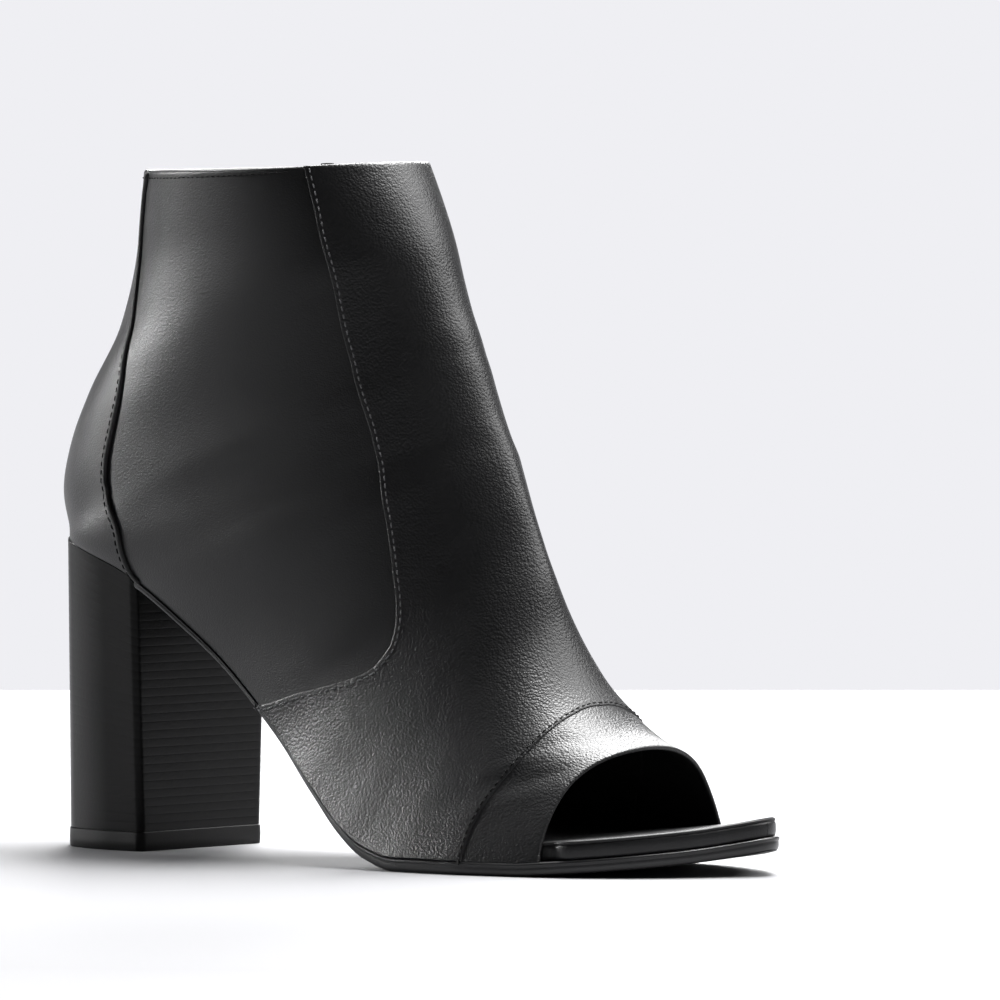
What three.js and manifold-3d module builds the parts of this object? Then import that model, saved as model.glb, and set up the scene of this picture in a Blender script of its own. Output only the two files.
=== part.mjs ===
// Peep toe ankle boot for the right foot, on a stacked block heel.
// Millimetres. +X points at the toe, +Y at the wearer's left (the inner side), +Z up.
// While the pieces are made, x = 0 is the back of the heel seat and z = 0 the floor.

import * as THREE from "three";
import { mergeVertices } from "three/addons/utils/BufferGeometryUtils.js";
import Module from "manifold-3d";

const wasm = await Module();
wasm.setup();

// Sole and last
const LENGTH = 236; // heel seat to the tip of the sole
const BALL_WIDTH = 81;
const SEAT_WIDTH = 56.4;
const WAIST_WIDTH = 46; // narrowest part of the arch
const SEAT_RISE = 85.5; // floor to the underside of the heel seat
const TOE_SPRING = 7; // floor to the underside of the tip
const SPRING_SKEW = 0.25; // the inner side of the toe lifts earlier
const TIP_OFFSET = 12; // the tip lies this far to the inner side
const OUTSOLE = 3.8;
const SHANK = 2.5; // sole under the arch and the heel seat
const FOOTBED = 5.2;
const FOOTBED_PLAY = 1.2; // between it and the wall beside it
const FOOTBED_LIP = 0.7; // footbed behind the outsole's edge at the open toe
const LIP_RUN = 7.2; // past the opening's corners its edge moves out over this length
const FOOTBED_END = 14.1; // half width at its ends from which its inset shrinks

// Upper and shaft
const BOOT_HEIGHT = 190; // collar at the back
const COLLAR_RISE = 2; // its front stands this much higher
const COLLAR_SAG = 1.4; // and its outer side this much lower
const COLLAR_LENGTH = 90;
const SHAFT_WIDTH = 61;
const SHAFT_LEAN = 26; // heel back to the collar's back
const RIDGE_SETBACK = 24; // tip of the sole to the front end of the ridge
const TOE_HEIGHT = 28; // that end above the floor
const RIDGE_OFFSET = 6; // ridge of the toe towards the inner side
const WALL = 1.8;
const VAMP_STEP = 0.9; // the vamp lies on the side and toe panels
const PIPING_STEP = 1.2;
const PIPING_WIDTH = 1.8;
const OPENING_OUTER = 193; // toe opening on the sole, outer side
const OPENING_INNER = 199;
const OPENING_TOP = 209; // and its station on the ridge
const GAP = 0.3; // between pieces that touch
const CUT_MARGIN = 7.2; // cutters run this far past what they cut

// Heel
const BREAST = 40; // front face of the heel, from the heel back
const HEEL_WIDTH = 51; // on the floor
const HEEL_SWEEP = 1; // its back goes this far rearward on the way down
const LIFT = 5.5;
const LIFT_LIP = 0.3;
const LIP_START = 0.2; // share of the lift's length over which the lip comes out

// Zip on the inner side
const ZIP_TOP_X = 58.5;
const ZIP_BOTTOM_X = 65;
const ZIP_BOTTOM_Z = 98;
const SLOT_WIDTH = 6.4;
const TAPE_WIDTH = 25;
const TAPE = 0.7;
const TAPE_DROP = 2; // below the rim
const TAPE_TAIL = 7; // below the slot
const NOTCH_WIDTH = 2.6; // in the tape, for the slider's post
const TEETH_WIDTH = 4.8;
const TEETH_WAIST = 3.84; // between two teeth
const TEETH = 1.6;
const TEETH_PITCH = 2.4;
const STOP_LENGTH = 2.6;
const SLIDER_LENGTH = 9;
const SLIDER_WIDTH = 7.6;
const SLIDER_PLATE = 1.2;
const SLIDER_FLOAT = 0.45; // plate over the teeth
const SLIDER_DROP = 0.8; // its top below the rim
const POST_WIDTH = 1.6;
const POST_LENGTH = 3;
const LUG_LENGTH = 4.4;
const LUG_WIDTH = 1.8;
const LUG_CROWN = 0.9; // metal round the pin
const PIN_RADIUS = 0.7;
const PIN_CLEARANCE = 0.3;
const PIN_STANDOFF = 1.9; // pin over the slider's plate
const PULL_LENGTH = 24;
const PULL_WIDTH = 5.4;
const PULL = 1.4;

// Steps of the meshes
const SHAFT_ROWS = 11;
const FOOT_ROWS = 19;
const ACROSS = 15; // columns on each side of the ridge
const SOLE_ROWS = 26;
const SOLE_COLUMNS = 8;
const TAPE_ROWS = 16;
const TAPE_COLUMNS = 8;
const BAR_SIDES = 16;
const PULL_SIDES = 8;
const FINEST = 0.02; // cuts leave no edge shorter than this

// Sole outline: where along the length, and the outer and inner half width
// as shares of half the named width.
const OUTLINE = [
  { along: 0, of: SEAT_WIDTH, outer: 0, inner: 0 },
  { along: 0.017, of: SEAT_WIDTH, outer: 0.55, inner: 0.55 },
  { along: 0.051, of: SEAT_WIDTH, outer: 0.85, inner: 0.85 },
  { along: 0.119, of: SEAT_WIDTH, outer: 1, inner: 1 },
  { along: 0.18, of: SEAT_WIDTH, outer: 1, inner: 0.95 },
  { along: 0.3, of: WAIST_WIDTH, outer: 1.12, inner: 0.9 },
  { along: 0.39, of: WAIST_WIDTH, outer: 1.22, inner: 0.82 },
  { along: 0.475, of: BALL_WIDTH, outer: 0.84, inner: 0.57 },
  { along: 0.568, of: BALL_WIDTH, outer: 0.975, inner: 0.79 },
  { along: 0.636, of: BALL_WIDTH, outer: 1.012, inner: 0.94 },
  { along: 0.7, of: BALL_WIDTH, outer: 1, inner: 1.01 },
  { along: 0.771, of: BALL_WIDTH, outer: 0.913, inner: 1 },
  { along: 0.839, of: BALL_WIDTH, outer: 0.765, inner: 0.95 },
  { along: 0.898, of: BALL_WIDTH, outer: 0.53, inner: 0.84 },
  { along: 0.945, of: BALL_WIDTH, outer: 0.247, inner: 0.69 },
  { along: 0.979, of: BALL_WIDTH, outer: -0.05, inner: 0.52 },
  { along: 1, of: 2 * TIP_OFFSET, outer: -1, inner: 1 },
];

// Underside of the sole: share of the heel's rise and of the toe spring
const WALK = [
  { along: 0, rise: 1, spring: 0, forefoot: 0 },
  { along: 0.085, rise: 0.947, spring: 0, forefoot: 0 },
  { along: 0.17, rise: 0.861, spring: 0, forefoot: 0 },
  { along: 0.254, rise: 0.708, spring: 0, forefoot: 0 },
  { along: 0.339, rise: 0.526, spring: 0, forefoot: 0 },
  { along: 0.407, rise: 0.372, spring: 0, forefoot: 0.08 },
  { along: 0.475, rise: 0.218, spring: 0, forefoot: 0.3 },
  { along: 0.525, rise: 0.108, spring: 0, forefoot: 0.6 },
  { along: 0.576, rise: 0.03, spring: 0, forefoot: 0.85 },
  { along: 0.623, rise: 0, spring: 0, forefoot: 1 },
  { along: 0.746, rise: 0, spring: 0, forefoot: 1 },
  { along: 0.78, rise: 0, spring: 0.06, forefoot: 1.03 },
  { along: 0.814, rise: 0, spring: 0.13, forefoot: 1.06 },
  { along: 0.847, rise: 0, spring: 0.21, forefoot: 1.08 },
  { along: 0.898, rise: 0, spring: 0.37, forefoot: 1.1 },
  { along: 0.949, rise: 0, spring: 0.57, forefoot: 1.1 },
  { along: 0.979, rise: 0, spring: 0.74, forefoot: 1.1 },
  { along: 1.017, rise: 0, spring: 1, forefoot: 1.1 },
];

// Sections of the upper, each from its back or bottom point to the ridge.
// up or along: its place on the heel's back line or on the sole.
// lean: back line forward, share of the shaft's lean.
// ridge, height: its front point, as shares of the way from the collar to the toe.
// full: fullness as a share of half the shaft's or the ball's width.
// taper: 0.5 is a round top, more is a sharper one. round: less than 1 is a fuller back.
// offset: ridge to the inner side, share of RIDGE_OFFSET.
const SHAFT_SECTIONS = [
  { up: 1, lean: 1, ridge: 0, rise: 1, full: 1, taper: 0.5, round: 1, offset: 0 },
  { up: 0.765, lean: 0.87, ridge: 0.066, rise: 0.93, full: 1, taper: 0.5, round: 1, offset: 0 },
  { up: 0.559, lean: 0.64, ridge: 0.117, rise: 0.866, full: 1.003, taper: 0.5, round: 0.96, offset: 0 },
  { up: 0.363, lean: 0.17, ridge: 0.155, rise: 0.802, full: 1.016, taper: 0.51, round: 0.91, offset: 0.08 },
  { up: 0.216, lean: -0.09, ridge: 0.188, rise: 0.751, full: 1.023, taper: 0.52, round: 0.87, offset: 0.17 },
  { up: 0.098, lean: -0.19, ridge: 0.221, rise: 0.707, full: 1.026, taper: 0.53, round: 0.83, offset: 0.25 },
  { up: 0.039, lean: -0.13, ridge: 0.238, rise: 0.68, full: 1.03, taper: 0.535, round: 0.8, offset: 0.3 },
];
const FOOT_SECTIONS = [
  { along: 0, ridge: 0.25, rise: 0.662, full: 0.778, taper: 0.54, round: 0.78, offset: 0.33 },
  { along: 0.051, ridge: 0.276, rise: 0.619, full: 0.77, taper: 0.557, round: 0.83, offset: 0.42 },
  { along: 0.119, ridge: 0.303, rise: 0.577, full: 0.746, taper: 0.575, round: 0.9, offset: 0.5 },
  { along: 0.182, ridge: 0.329, rise: 0.544, full: 0.695, taper: 0.595, round: 0.95, offset: 0.58 },
  { along: 0.246, ridge: 0.354, rise: 0.512, full: 0.64, taper: 0.61, round: 1, offset: 0.67 },
  { along: 0.364, ridge: 0.404, rise: 0.442, full: 0.52, taper: 0.62, round: 1, offset: 0.67 },
  { along: 0.479, ridge: 0.455, rise: 0.372, full: 0.32, taper: 0.61, round: 1, offset: 0.75 },
  { along: 0.572, ridge: 0.504, rise: 0.302, full: 0.2, taper: 0.6, round: 1, offset: 0.75 },
  { along: 0.648, ridge: 0.542, rise: 0.238, full: 0.17, taper: 0.58, round: 1, offset: 0.83 },
  { along: 0.72, ridge: 0.592, rise: 0.174, full: 0.22, taper: 0.55, round: 1, offset: 0.83 },
  { along: 0.788, ridge: 0.66, rise: 0.116, full: 0.31, taper: 0.52, round: 1, offset: 0.92 },
  { along: 0.847, ridge: 0.766, rise: 0.064, full: 0.37, taper: 0.5, round: 1, offset: 0.92 },
  { along: 0.894, ridge: 0.896, rise: 0.03, full: 0.42, taper: 0.5, round: 1, offset: 1 },
  { along: 0.941, ridge: 1, rise: 0, full: 0.37, taper: 0.5, round: 1, offset: 1 },
];

// Places along the length, as shares of it, and powers of the upper's form
const ROLL_START = 0.593; // from here the toe spring runs askew
const ROLL_END = 0.805; // and here fully
const SEAT_END = 0.254; // end of the heel seat's hold on the upper's form
const SEAT_FADE = 3; // how soon the seat's width dies out up the side
const OPENING_ROUND = 1.6; // more keeps the toe opening's corners lower
const ROW_SPREAD = 1.25; // more puts the rows of the foot closer at the heel

// Seams in side view: share of the length and of the boot's height
const VAMP_SEAM = [
  { along: 0.421, up: 1.03 }, { along: 0.424, up: 0.99 }, { along: 0.445, up: 0.91 },
  { along: 0.468, up: 0.813 }, { along: 0.484, up: 0.729 }, { along: 0.506, up: 0.634 },
  { along: 0.518, up: 0.595 }, { along: 0.534, up: 0.505 }, { along: 0.547, up: 0.431 },
  { along: 0.556, up: 0.385 }, { along: 0.559, up: 0.342 }, { along: 0.553, up: 0.311 },
  { along: 0.54, up: 0.289 }, { along: 0.517, up: 0.274 }, { along: 0.475, up: 0.258 },
  { along: 0.43, up: 0.245 }, { along: 0.36, up: 0.226 }, { along: 0.3, up: 0.21 },
];
const TOE_SEAM = [
  { along: 0.723, up: -0.02 }, { along: 0.725, up: 0.035 }, { along: 0.725, up: 0.06 },
  { along: 0.73, up: 0.086 }, { along: 0.741, up: 0.124 }, { along: 0.753, up: 0.158 },
  { along: 0.762, up: 0.189 }, { along: 0.767, up: 0.208 }, { along: 0.768, up: 0.226 },
  { along: 0.766, up: 0.28 },
];
const REAR_SEAM = [
  { along: 0.17, up: 1.03 }, { along: 0.168, up: 0.993 }, { along: 0.158, up: 0.96 },
  { along: 0.153, up: 0.92 }, { along: 0.153, up: 0.853 }, { along: 0.155, up: 0.8 },
  { along: 0.158, up: 0.758 }, { along: 0.156, up: 0.69 }, { along: 0.148, up: 0.654 },
  { along: 0.139, up: 0.616 }, { along: 0.133, up: 0.579 }, { along: 0.133, up: 0.542 },
  { along: 0.144, up: 0.505 }, { along: 0.157, up: 0.468 }, { along: 0.162, up: 0.43 },
  { along: 0.165, up: 0.38 },
];

// Smooth curve through the points of a table, which never swings past them
function curve(xs, ys) {
  const last = xs.length - 1;
  const slope = xs.slice(1).map((x, i) => (ys[i + 1] - ys[i]) / (x - xs[i]));
  const tangent = xs.map((x, i) => {
    if (i === 0) return slope[0];
    if (i === last) return slope[last - 1];
    if (slope[i - 1] * slope[i] <= 0) return 0;
    const before = xs[i] - xs[i - 1];
    const after = xs[i + 1] - xs[i];
    const a = 2 * after + before;
    const b = after + 2 * before;
    return (a + b) / (a / slope[i - 1] + b / slope[i]);
  });
  return (value) => {
    const x = THREE.MathUtils.clamp(value, xs[0], xs[last]);
    let i = 0;
    while (i < last - 1 && x > xs[i + 1]) i += 1;
    const h = xs[i + 1] - xs[i];
    const t = (x - xs[i]) / h;
    const near = (1 + 2 * t) * (1 - t) ** 2 * ys[i] + t * (1 - t) ** 2 * h * tangent[i];
    const far = t ** 2 * (3 - 2 * t) * ys[i + 1] + t ** 2 * (t - 1) * h * tangent[i + 1];
    return near + far;
  };
}

const smooth = (x, from, to) => THREE.MathUtils.smoothstep(x, from, to);

// Half width of the sole at x; side is -1 on the outer, 1 on the inner side.
// The angle e makes both ends of the outline round.
const angleAt = (x) => Math.acos(THREE.MathUtils.clamp(1 - (2 * x) / LENGTH, -1, 1));
const outlineAngles = OUTLINE.map((row) => angleAt(row.along * LENGTH));
const outlineOuter = curve(outlineAngles, OUTLINE.map((row) => (row.outer * row.of) / 2));
const outlineInner = curve(outlineAngles, OUTLINE.map((row) => (row.inner * row.of) / 2));
const halfWidth = (x, side) => (side < 0 ? outlineOuter : outlineInner)(angleAt(x));

// Underside and upper face of the sole
const walkAlong = WALK.map((row) => row.along * LENGTH);
const walkHeight = curve(walkAlong, WALK.map((row) => row.rise * SEAT_RISE + row.spring * TOE_SPRING));
const walkLayer = curve(walkAlong, WALK.map((row) => SHANK + row.forefoot * (OUTSOLE - SHANK)));
const rollAt = (x, y) => x + SPRING_SKEW * y * smooth(x, ROLL_START * LENGTH, ROLL_END * LENGTH);
const undersideAt = (x, y) => walkHeight(rollAt(x, y));
const featherAt = (x, y) => undersideAt(x, y) + walkLayer(rollAt(x, y));

// A station is a length along the sole, or minus the rise up the heel's back
const seatHeight = SEAT_RISE + SHANK;
const shaftRise = BOOT_HEIGHT - seatHeight;
const collarFront = SHAFT_LEAN + COLLAR_LENGTH;
const collarTop = BOOT_HEIGHT + COLLAR_RISE;
const ridgeEnd = LENGTH - RIDGE_SETBACK;
const sections = [
  ...SHAFT_SECTIONS.map((row) => ({
    ...row,
    station: -row.up * shaftRise,
    back: row.lean * SHAFT_LEAN,
    wide: (row.full * SHAFT_WIDTH) / 2,
  })),
  ...FOOT_SECTIONS.map((row) => ({
    ...row, station: row.along * LENGTH, back: 0, wide: (row.full * BALL_WIDTH) / 2,
  })),
];
const stations = sections.map((row) => row.station);
const column = (value) => curve(stations, sections.map(value));
const ridgeX = column((row) => THREE.MathUtils.lerp(collarFront, ridgeEnd, row.ridge));
const ridgeZ = column((row) => THREE.MathUtils.lerp(TOE_HEIGHT, collarTop, row.rise));
const ridgeY = column((row) => row.offset * RIDGE_OFFSET);
const wideAt = column((row) => row.wide);
const taperAt = column((row) => row.taper);
const roundAt = column((row) => row.round);
const backAt = column((row) => row.back);
const seatEnd = SEAT_END * LENGTH;

// Point of the upper's outside at a station; v runs from the sole or back line to the ridge.
// Over the heel seat the sole's width dies out sooner on the way up.
function upperPoint(station, v, side) {
  const onSole = station >= 0;
  const x = onSole ? station : backAt(station);
  const half = onSole ? halfWidth(x, side) : 0;
  const z = onSole ? featherAt(x, side * half) : seatHeight - station;
  const fade = SEAT_FADE * (1 - smooth(station, 0, seatEnd));
  const held = half ** 2 * (1 - v) ** fade;
  const reach = Math.sqrt(held + 4 * wideAt(station) ** 2 * v ** roundAt(station));
  const y = ridgeY(station) * v + side * reach * (1 - v) ** taperAt(station);
  const sag = side < 0 ? COLLAR_SAG * 4 * v * (1 - v) * smooth(-station, shaftRise / 2, shaftRise) : 0;
  return new THREE.Vector3(
    THREE.MathUtils.lerp(x, ridgeX(station), v),
    y,
    THREE.MathUtils.lerp(z, ridgeZ(station), v) - sag,
  );
}

// Station and v of the point of one side that shows at x, z in side view
function sideStation(x, z, side) {
  let low = stations[0];
  let high = stations[stations.length - 1];
  const ends = (station) => [upperPoint(station, 0, side), upperPoint(station, 1, side)];
  for (let i = 0; i < 40; i += 1) {
    const middle = (low + high) / 2;
    const [from, to] = ends(middle);
    const turn = (to.x - from.x) * (z - from.z) - (to.z - from.z) * (x - from.x);
    if (turn > 0) high = middle;
    else low = middle;
  }
  const [from, to] = ends(low);
  const v = ((x - from.x) * (to.x - from.x) + (z - from.z) * (to.z - from.z))
    / ((to.x - from.x) ** 2 + (to.z - from.z) ** 2);
  return { station: low, v: THREE.MathUtils.clamp(v, 0, 1) };
}

function sidePoint(x, z, side) {
  const { station, v } = sideStation(x, z, side);
  return new THREE.Vector3(x, upperPoint(station, v, side).y, z);
}

// The same point moved out of the surface by a distance
function sideOffset(x, z, side, distance) {
  const step = 0.5;
  const point = sidePoint(x, z, side);
  const alongX = sidePoint(x + step, z, side).sub(sidePoint(x - step, z, side));
  const alongZ = sidePoint(x, z + step, side).sub(sidePoint(x, z - step, side));
  const normal = alongZ.cross(alongX).multiplyScalar(side).normalize();
  return point.addScaledVector(normal, distance);
}

// A sheet is a list of points and the triangles between them, facing out
function sheet(rows, columns, pointAt, closesAt) {
  const points = [];
  const index = [];
  for (let i = 0; i <= rows; i += 1) {
    for (let j = 0; j <= columns; j += 1) {
      const closed = j === columns && closesAt(i);
      index.push(closed ? index[i * (columns + 1)] : points.length);
      if (!closed) points.push(pointAt(i, j));
    }
  }
  const triangles = [];
  for (let i = 0; i < rows; i += 1) {
    for (let j = 0; j < columns; j += 1) {
      const a = index[i * (columns + 1) + j];
      const b = index[i * (columns + 1) + j + 1];
      const c = index[(i + 1) * (columns + 1) + j + 1];
      const d = index[(i + 1) * (columns + 1) + j];
      triangles.push([a, b, c], [a, c, d]);
    }
  }
  return { points, triangles: triangles.filter(([a, b, c]) => a !== b && b !== c && c !== a) };
}

// Closed geometry between two layers of points that share one list of triangles
function between(upperLayer, lowerLayer, triangles) {
  const count = upperLayer.length;
  const faces = [];
  const edges = new Map();
  for (const [a, b, c] of triangles) {
    faces.push([a, b, c], [a + count, c + count, b + count]);
    for (const [from, to] of [[a, b], [b, c], [c, a]]) {
      if (!edges.delete(`${to},${from}`)) edges.set(`${from},${to}`, [from, to]);
    }
  }
  for (const [from, to] of edges.values()) {
    faces.push([from, from + count, to + count], [from, to + count, to]);
  }
  const geometry = new THREE.BufferGeometry();
  geometry.setFromPoints([...upperLayer, ...lowerLayer]);
  geometry.setIndex(faces.flat());
  return clean(geometry);
}

// Merges equal points and drops the triangles that this leaves without an area
function clean(geometry) {
  const bare = geometry.clone();
  for (const name of Object.keys(bare.attributes)) {
    if (name !== "position") bare.deleteAttribute(name);
  }
  const merged = mergeVertices(bare, 1e-4);
  const source = merged.index.array;
  const kept = [];
  for (let i = 0; i < source.length; i += 3) {
    const [a, b, c] = [source[i], source[i + 1], source[i + 2]];
    if (a !== b && b !== c && c !== a) kept.push(a, b, c);
  }
  merged.setIndex(kept);
  return merged;
}

function toSolid(geometry) {
  const merged = clean(geometry);
  return new wasm.Manifold(new wasm.Mesh({
    numProp: 3,
    vertProperties: new Float32Array(merged.attributes.position.array),
    triVerts: new Uint32Array(merged.index.array),
  }));
}

function toGeometry(solid) {
  const mesh = solid.simplify(FINEST).getMesh();
  const geometry = new THREE.BufferGeometry();
  geometry.setAttribute("position", new THREE.BufferAttribute(new Float32Array(mesh.vertProperties), 3));
  geometry.setIndex(new THREE.BufferAttribute(new Uint32Array(mesh.triVerts), 1));
  return geometry;
}

// Prism through the boot from an outline in side view
function sidePrism(outline, fromY, toY) {
  const shape = new THREE.Shape(outline.map(([x, z]) => new THREE.Vector2(x, z)));
  const prism = new THREE.ExtrudeGeometry(shape, { depth: toY - fromY, bevelEnabled: false });
  prism.rotateX(Math.PI / 2);
  prism.translate(0, toY, 0);
  return toSolid(prism);
}

const seamLine = (seam) => seam.map((row) => [row.along * LENGTH, row.up * BOOT_HEIGHT]);

// Outside of the upper as a sheet, from the collar to the toe opening
const openingFoot = (side) => (side < 0 ? OPENING_OUTER : OPENING_INNER);
const openingAt = (v, side) => THREE.MathUtils.lerp(openingFoot(side), OPENING_TOP, v ** OPENING_ROUND);
function upperSheet() {
  const stationAt = (i, v, side) => {
    if (i <= SHAFT_ROWS) return -shaftRise * (1 - i / SHAFT_ROWS);
    return openingAt(v, side) * ((i - SHAFT_ROWS) / FOOT_ROWS) ** ROW_SPREAD;
  };
  const pointAt = (i, j) => {
    const side = j <= ACROSS ? 1 : -1;
    const share = j <= ACROSS ? j / ACROSS : 2 - j / ACROSS;
    const v = (1 - Math.cos(Math.PI * share)) / 2;
    return upperPoint(stationAt(i, v, side), v, side);
  };
  return sheet(SHAFT_ROWS + FOOT_ROWS, 2 * ACROSS, pointAt, (i) => i <= SHAFT_ROWS);
}

// A shell between two distances from the sheet, measured outward
function shell(base, outward, inward) {
  const geometry = new THREE.BufferGeometry().setFromPoints(base.points);
  geometry.setIndex(base.triangles.flat());
  geometry.computeVertexNormals();
  const normals = geometry.attributes.normal;
  const layer = (distance) => base.points.map((point, i) => {
    const normal = new THREE.Vector3().fromBufferAttribute(normals, i);
    return point.clone().addScaledVector(normal, distance);
  });
  return toSolid(between(layer(outward), layer(inward), base.triangles));
}

function makeUpper() {
  const base = upperSheet();
  const wall = shell(base, 0, -WALL);
  const far = BALL_WIDTH;
  const vampOutline = [...seamLine(VAMP_SEAM), ...seamLine(TOE_SEAM), [ridgeEnd, collarTop + CUT_MARGIN]];
  const vamp = shell(base, VAMP_STEP, -WALL / 2).intersect(sidePrism(vampOutline, -far, far));
  const line = seamLine(REAR_SEAM);
  const stripOutline = [
    ...line.map(([x, z]) => [x - PIPING_WIDTH / 2, z]),
    ...line.map(([x, z]) => [x + PIPING_WIDTH / 2, z]).reverse(),
  ];
  const piping = shell(base, PIPING_STEP, -WALL / 2).intersect(sidePrism(stripOutline, -far, far));
  const slot = sidePrism([
    [ZIP_TOP_X - SLOT_WIDTH / 2, collarTop + WALL],
    [ZIP_BOTTOM_X - SLOT_WIDTH / 2, ZIP_BOTTOM_Z],
    [ZIP_BOTTOM_X + SLOT_WIDTH / 2, ZIP_BOTTOM_Z],
    [ZIP_TOP_X + SLOT_WIDTH / 2, collarTop + WALL],
  ], 0, far);
  return toGeometry(wall.add(vamp).add(piping).subtract(slot).subtract(belowFeather()));
}

// Places of the sole's rows, which all its pieces share, close together at both ends
const endsClose = (t) => (1 - Math.cos(Math.PI * t)) / 2;
const soleRows = Array.from({ length: SOLE_ROWS + 1 }, (_, i) => LENGTH * endsClose(i / SOLE_ROWS));
function rowsBetween(from, to) {
  return [from, ...soleRows.filter((x) => x > from + GAP && x < to - GAP), to];
}

function soleSheet(places, halfAt, heightAt) {
  const pointAt = (i, j) => {
    const x = places[i];
    const y = THREE.MathUtils.lerp(halfAt(x, 1), -halfAt(x, -1), j / SOLE_COLUMNS);
    return new THREE.Vector3(x, y, heightAt(x, y));
  };
  return sheet(places.length - 1, SOLE_COLUMNS, pointAt, () => false);
}

// Everything under the upper's lower edge, to trim the wall to it
function belowFeather() {
  const half = (x, side) => halfWidth(x, side) + CUT_MARGIN;
  const top = soleSheet(rowsBetween(-CUT_MARGIN, LENGTH + CUT_MARGIN), half, featherAt);
  const bottom = top.points.map((point) => new THREE.Vector3(point.x, point.y, -CUT_MARGIN));
  return toSolid(between(top.points, bottom, top.triangles));
}

function makeOutsole() {
  const from = BREAST + GAP;
  const places = rowsBetween(from, LENGTH);
  const top = soleSheet(places, halfWidth, (x, y) => featherAt(x, y) - GAP);
  const bottom = soleSheet(places, halfWidth, undersideAt);
  return between(top.points, bottom.points, top.triangles);
}

// The footbed fills the upper at its lower edge, and comes out to the lip at the open toe
function footbedHalf(x, side) {
  const half = halfWidth(x, side);
  const lower = featherAt(x, side * half);
  const leanIn = half - side * sidePoint(x, lower + FOOTBED, side).y;
  const inside = WALL + FOOTBED_PLAY + Math.max(0, leanIn);
  const opening = openingFoot(side);
  const inset = THREE.MathUtils.lerp(inside, FOOTBED_LIP, smooth(x, opening, opening + LIP_RUN));
  return half - inset;
}

function makeFootbed() {
  const start = 2 * WALL;
  const end = LENGTH - FOOTBED_LIP;
  const half = (x, side) => {
    const stretched = ((x - start) / (end - start)) * LENGTH;
    const plain = halfWidth(stretched, side);
    const place = Math.max(x, FOOTBED_END);
    const inset = halfWidth(place, side) - footbedHalf(place, side);
    return plain - inset * Math.min(1, Math.abs(plain) / FOOTBED_END);
  };
  const places = rowsBetween(start, end);
  const top = soleSheet(places, half, (x, y) => featherAt(x, y) + FOOTBED);
  const bottom = soleSheet(places, half, featherAt);
  return between(top.points, bottom.points, top.triangles);
}

// Heel block between the seat and the floor, then its top piece
function heelRing(share, lip, heightAt) {
  const places = rowsBetween(0, BREAST);
  const narrow = THREE.MathUtils.lerp(1, HEEL_WIDTH / SEAT_WIDTH, share);
  return sheet(places.length - 1, SOLE_COLUMNS, (i, j) => {
    const x = places[i];
    const t = x / BREAST;
    const y = THREE.MathUtils.lerp(halfWidth(x, 1), -halfWidth(x, -1), j / SOLE_COLUMNS) * narrow;
    const side = Math.sign(y) * lip * smooth(t, 0, LIP_START);
    const sweep = -HEEL_SWEEP * share * (1 - t) + lip * (2 * t - 1);
    return new THREE.Vector3(x + sweep, y + side, heightAt(x, y));
  }, () => false);
}

function makeHeel() {
  const top = heelRing(0, 0, (x, y) => featherAt(x, y) - GAP);
  const bottom = heelRing(1, 0, () => LIFT + GAP);
  return between(top.points, bottom.points, top.triangles);
}

function makeHeelLift() {
  const top = heelRing(1, LIFT_LIP, () => LIFT);
  const bottom = heelRing(1, LIFT_LIP, () => 0);
  return between(top.points, bottom.points, top.triangles);
}

// Line of the zip on the inner side, from the rim down
const rimZ = THREE.MathUtils.lerp(BOOT_HEIGHT, collarTop, (ZIP_TOP_X - SHAFT_LEAN) / COLLAR_LENGTH);
const zipX = (z) => THREE.MathUtils.mapLinear(z, rimZ, ZIP_BOTTOM_Z, ZIP_TOP_X, ZIP_BOTTOM_X);
const sliderTop = rimZ - SLIDER_DROP;
const tapeDepth = WALL + 2 * GAP;

// Ribbon along the zip between two depths under the upper's outside
function zipRibbon(fromZ, toZ, rows, columns, widthAt, shallow, deep) {
  const layer = (depth) => sheet(rows, columns, (i, j) => {
    const z = THREE.MathUtils.lerp(toZ, fromZ, i / rows);
    const across = (0.5 - j / columns) * widthAt(i);
    return sideOffset(zipX(z) - across, z, 1, -depth);
  }, () => false);
  const outer = layer(shallow);
  return between(outer.points, layer(deep).points, outer.triangles);
}

// Frame of the slider: x across the zip, y up along it, z out of the boot
const pinDepth = SLIDER_FLOAT + SLIDER_PLATE + PIN_STANDOFF;
function sliderFrame() {
  const along = (x, z) => sideOffset(x, z, 1, pinDepth);
  const at = along(zipX(sliderTop), sliderTop);
  const bottom = sliderTop - SLIDER_LENGTH;
  const up = at.clone().sub(along(zipX(bottom), bottom)).normalize();
  const across = along(at.x - SLIDER_WIDTH / 2, at.z).sub(along(at.x + SLIDER_WIDTH / 2, at.z));
  const out = across.cross(up).normalize();
  return new THREE.Matrix4().makeBasis(up.clone().cross(out), up, out).setPosition(at);
}

function block(x, y, z, atX, atY, atZ) {
  return toSolid(new THREE.BoxGeometry(x, y, z).translate(atX, atY, atZ));
}

function bar(radius, length) {
  return toSolid(new THREE.CylinderGeometry(radius, radius, length, BAR_SIDES).rotateZ(Math.PI / 2));
}

function makeTape() {
  const from = ZIP_BOTTOM_Z - TAPE_TAIL;
  const to = rimZ - TAPE_DROP;
  const deep = tapeDepth + TAPE;
  const tape = zipRibbon(from, to, TAPE_ROWS, TAPE_COLUMNS, () => TAPE_WIDTH, tapeDepth, deep);
  const length = SLIDER_DROP + POST_LENGTH + GAP * 2 + WALL;
  const middle = WALL - length / 2 + SLIDER_DROP;
  const notch = block(NOTCH_WIDTH, length, SLIDER_WIDTH * 2, 0, middle, -pinDepth);
  const placed = toGeometry(notch).applyMatrix4(sliderFrame());
  return toGeometry(toSolid(tape).subtract(toSolid(placed)));
}

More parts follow.
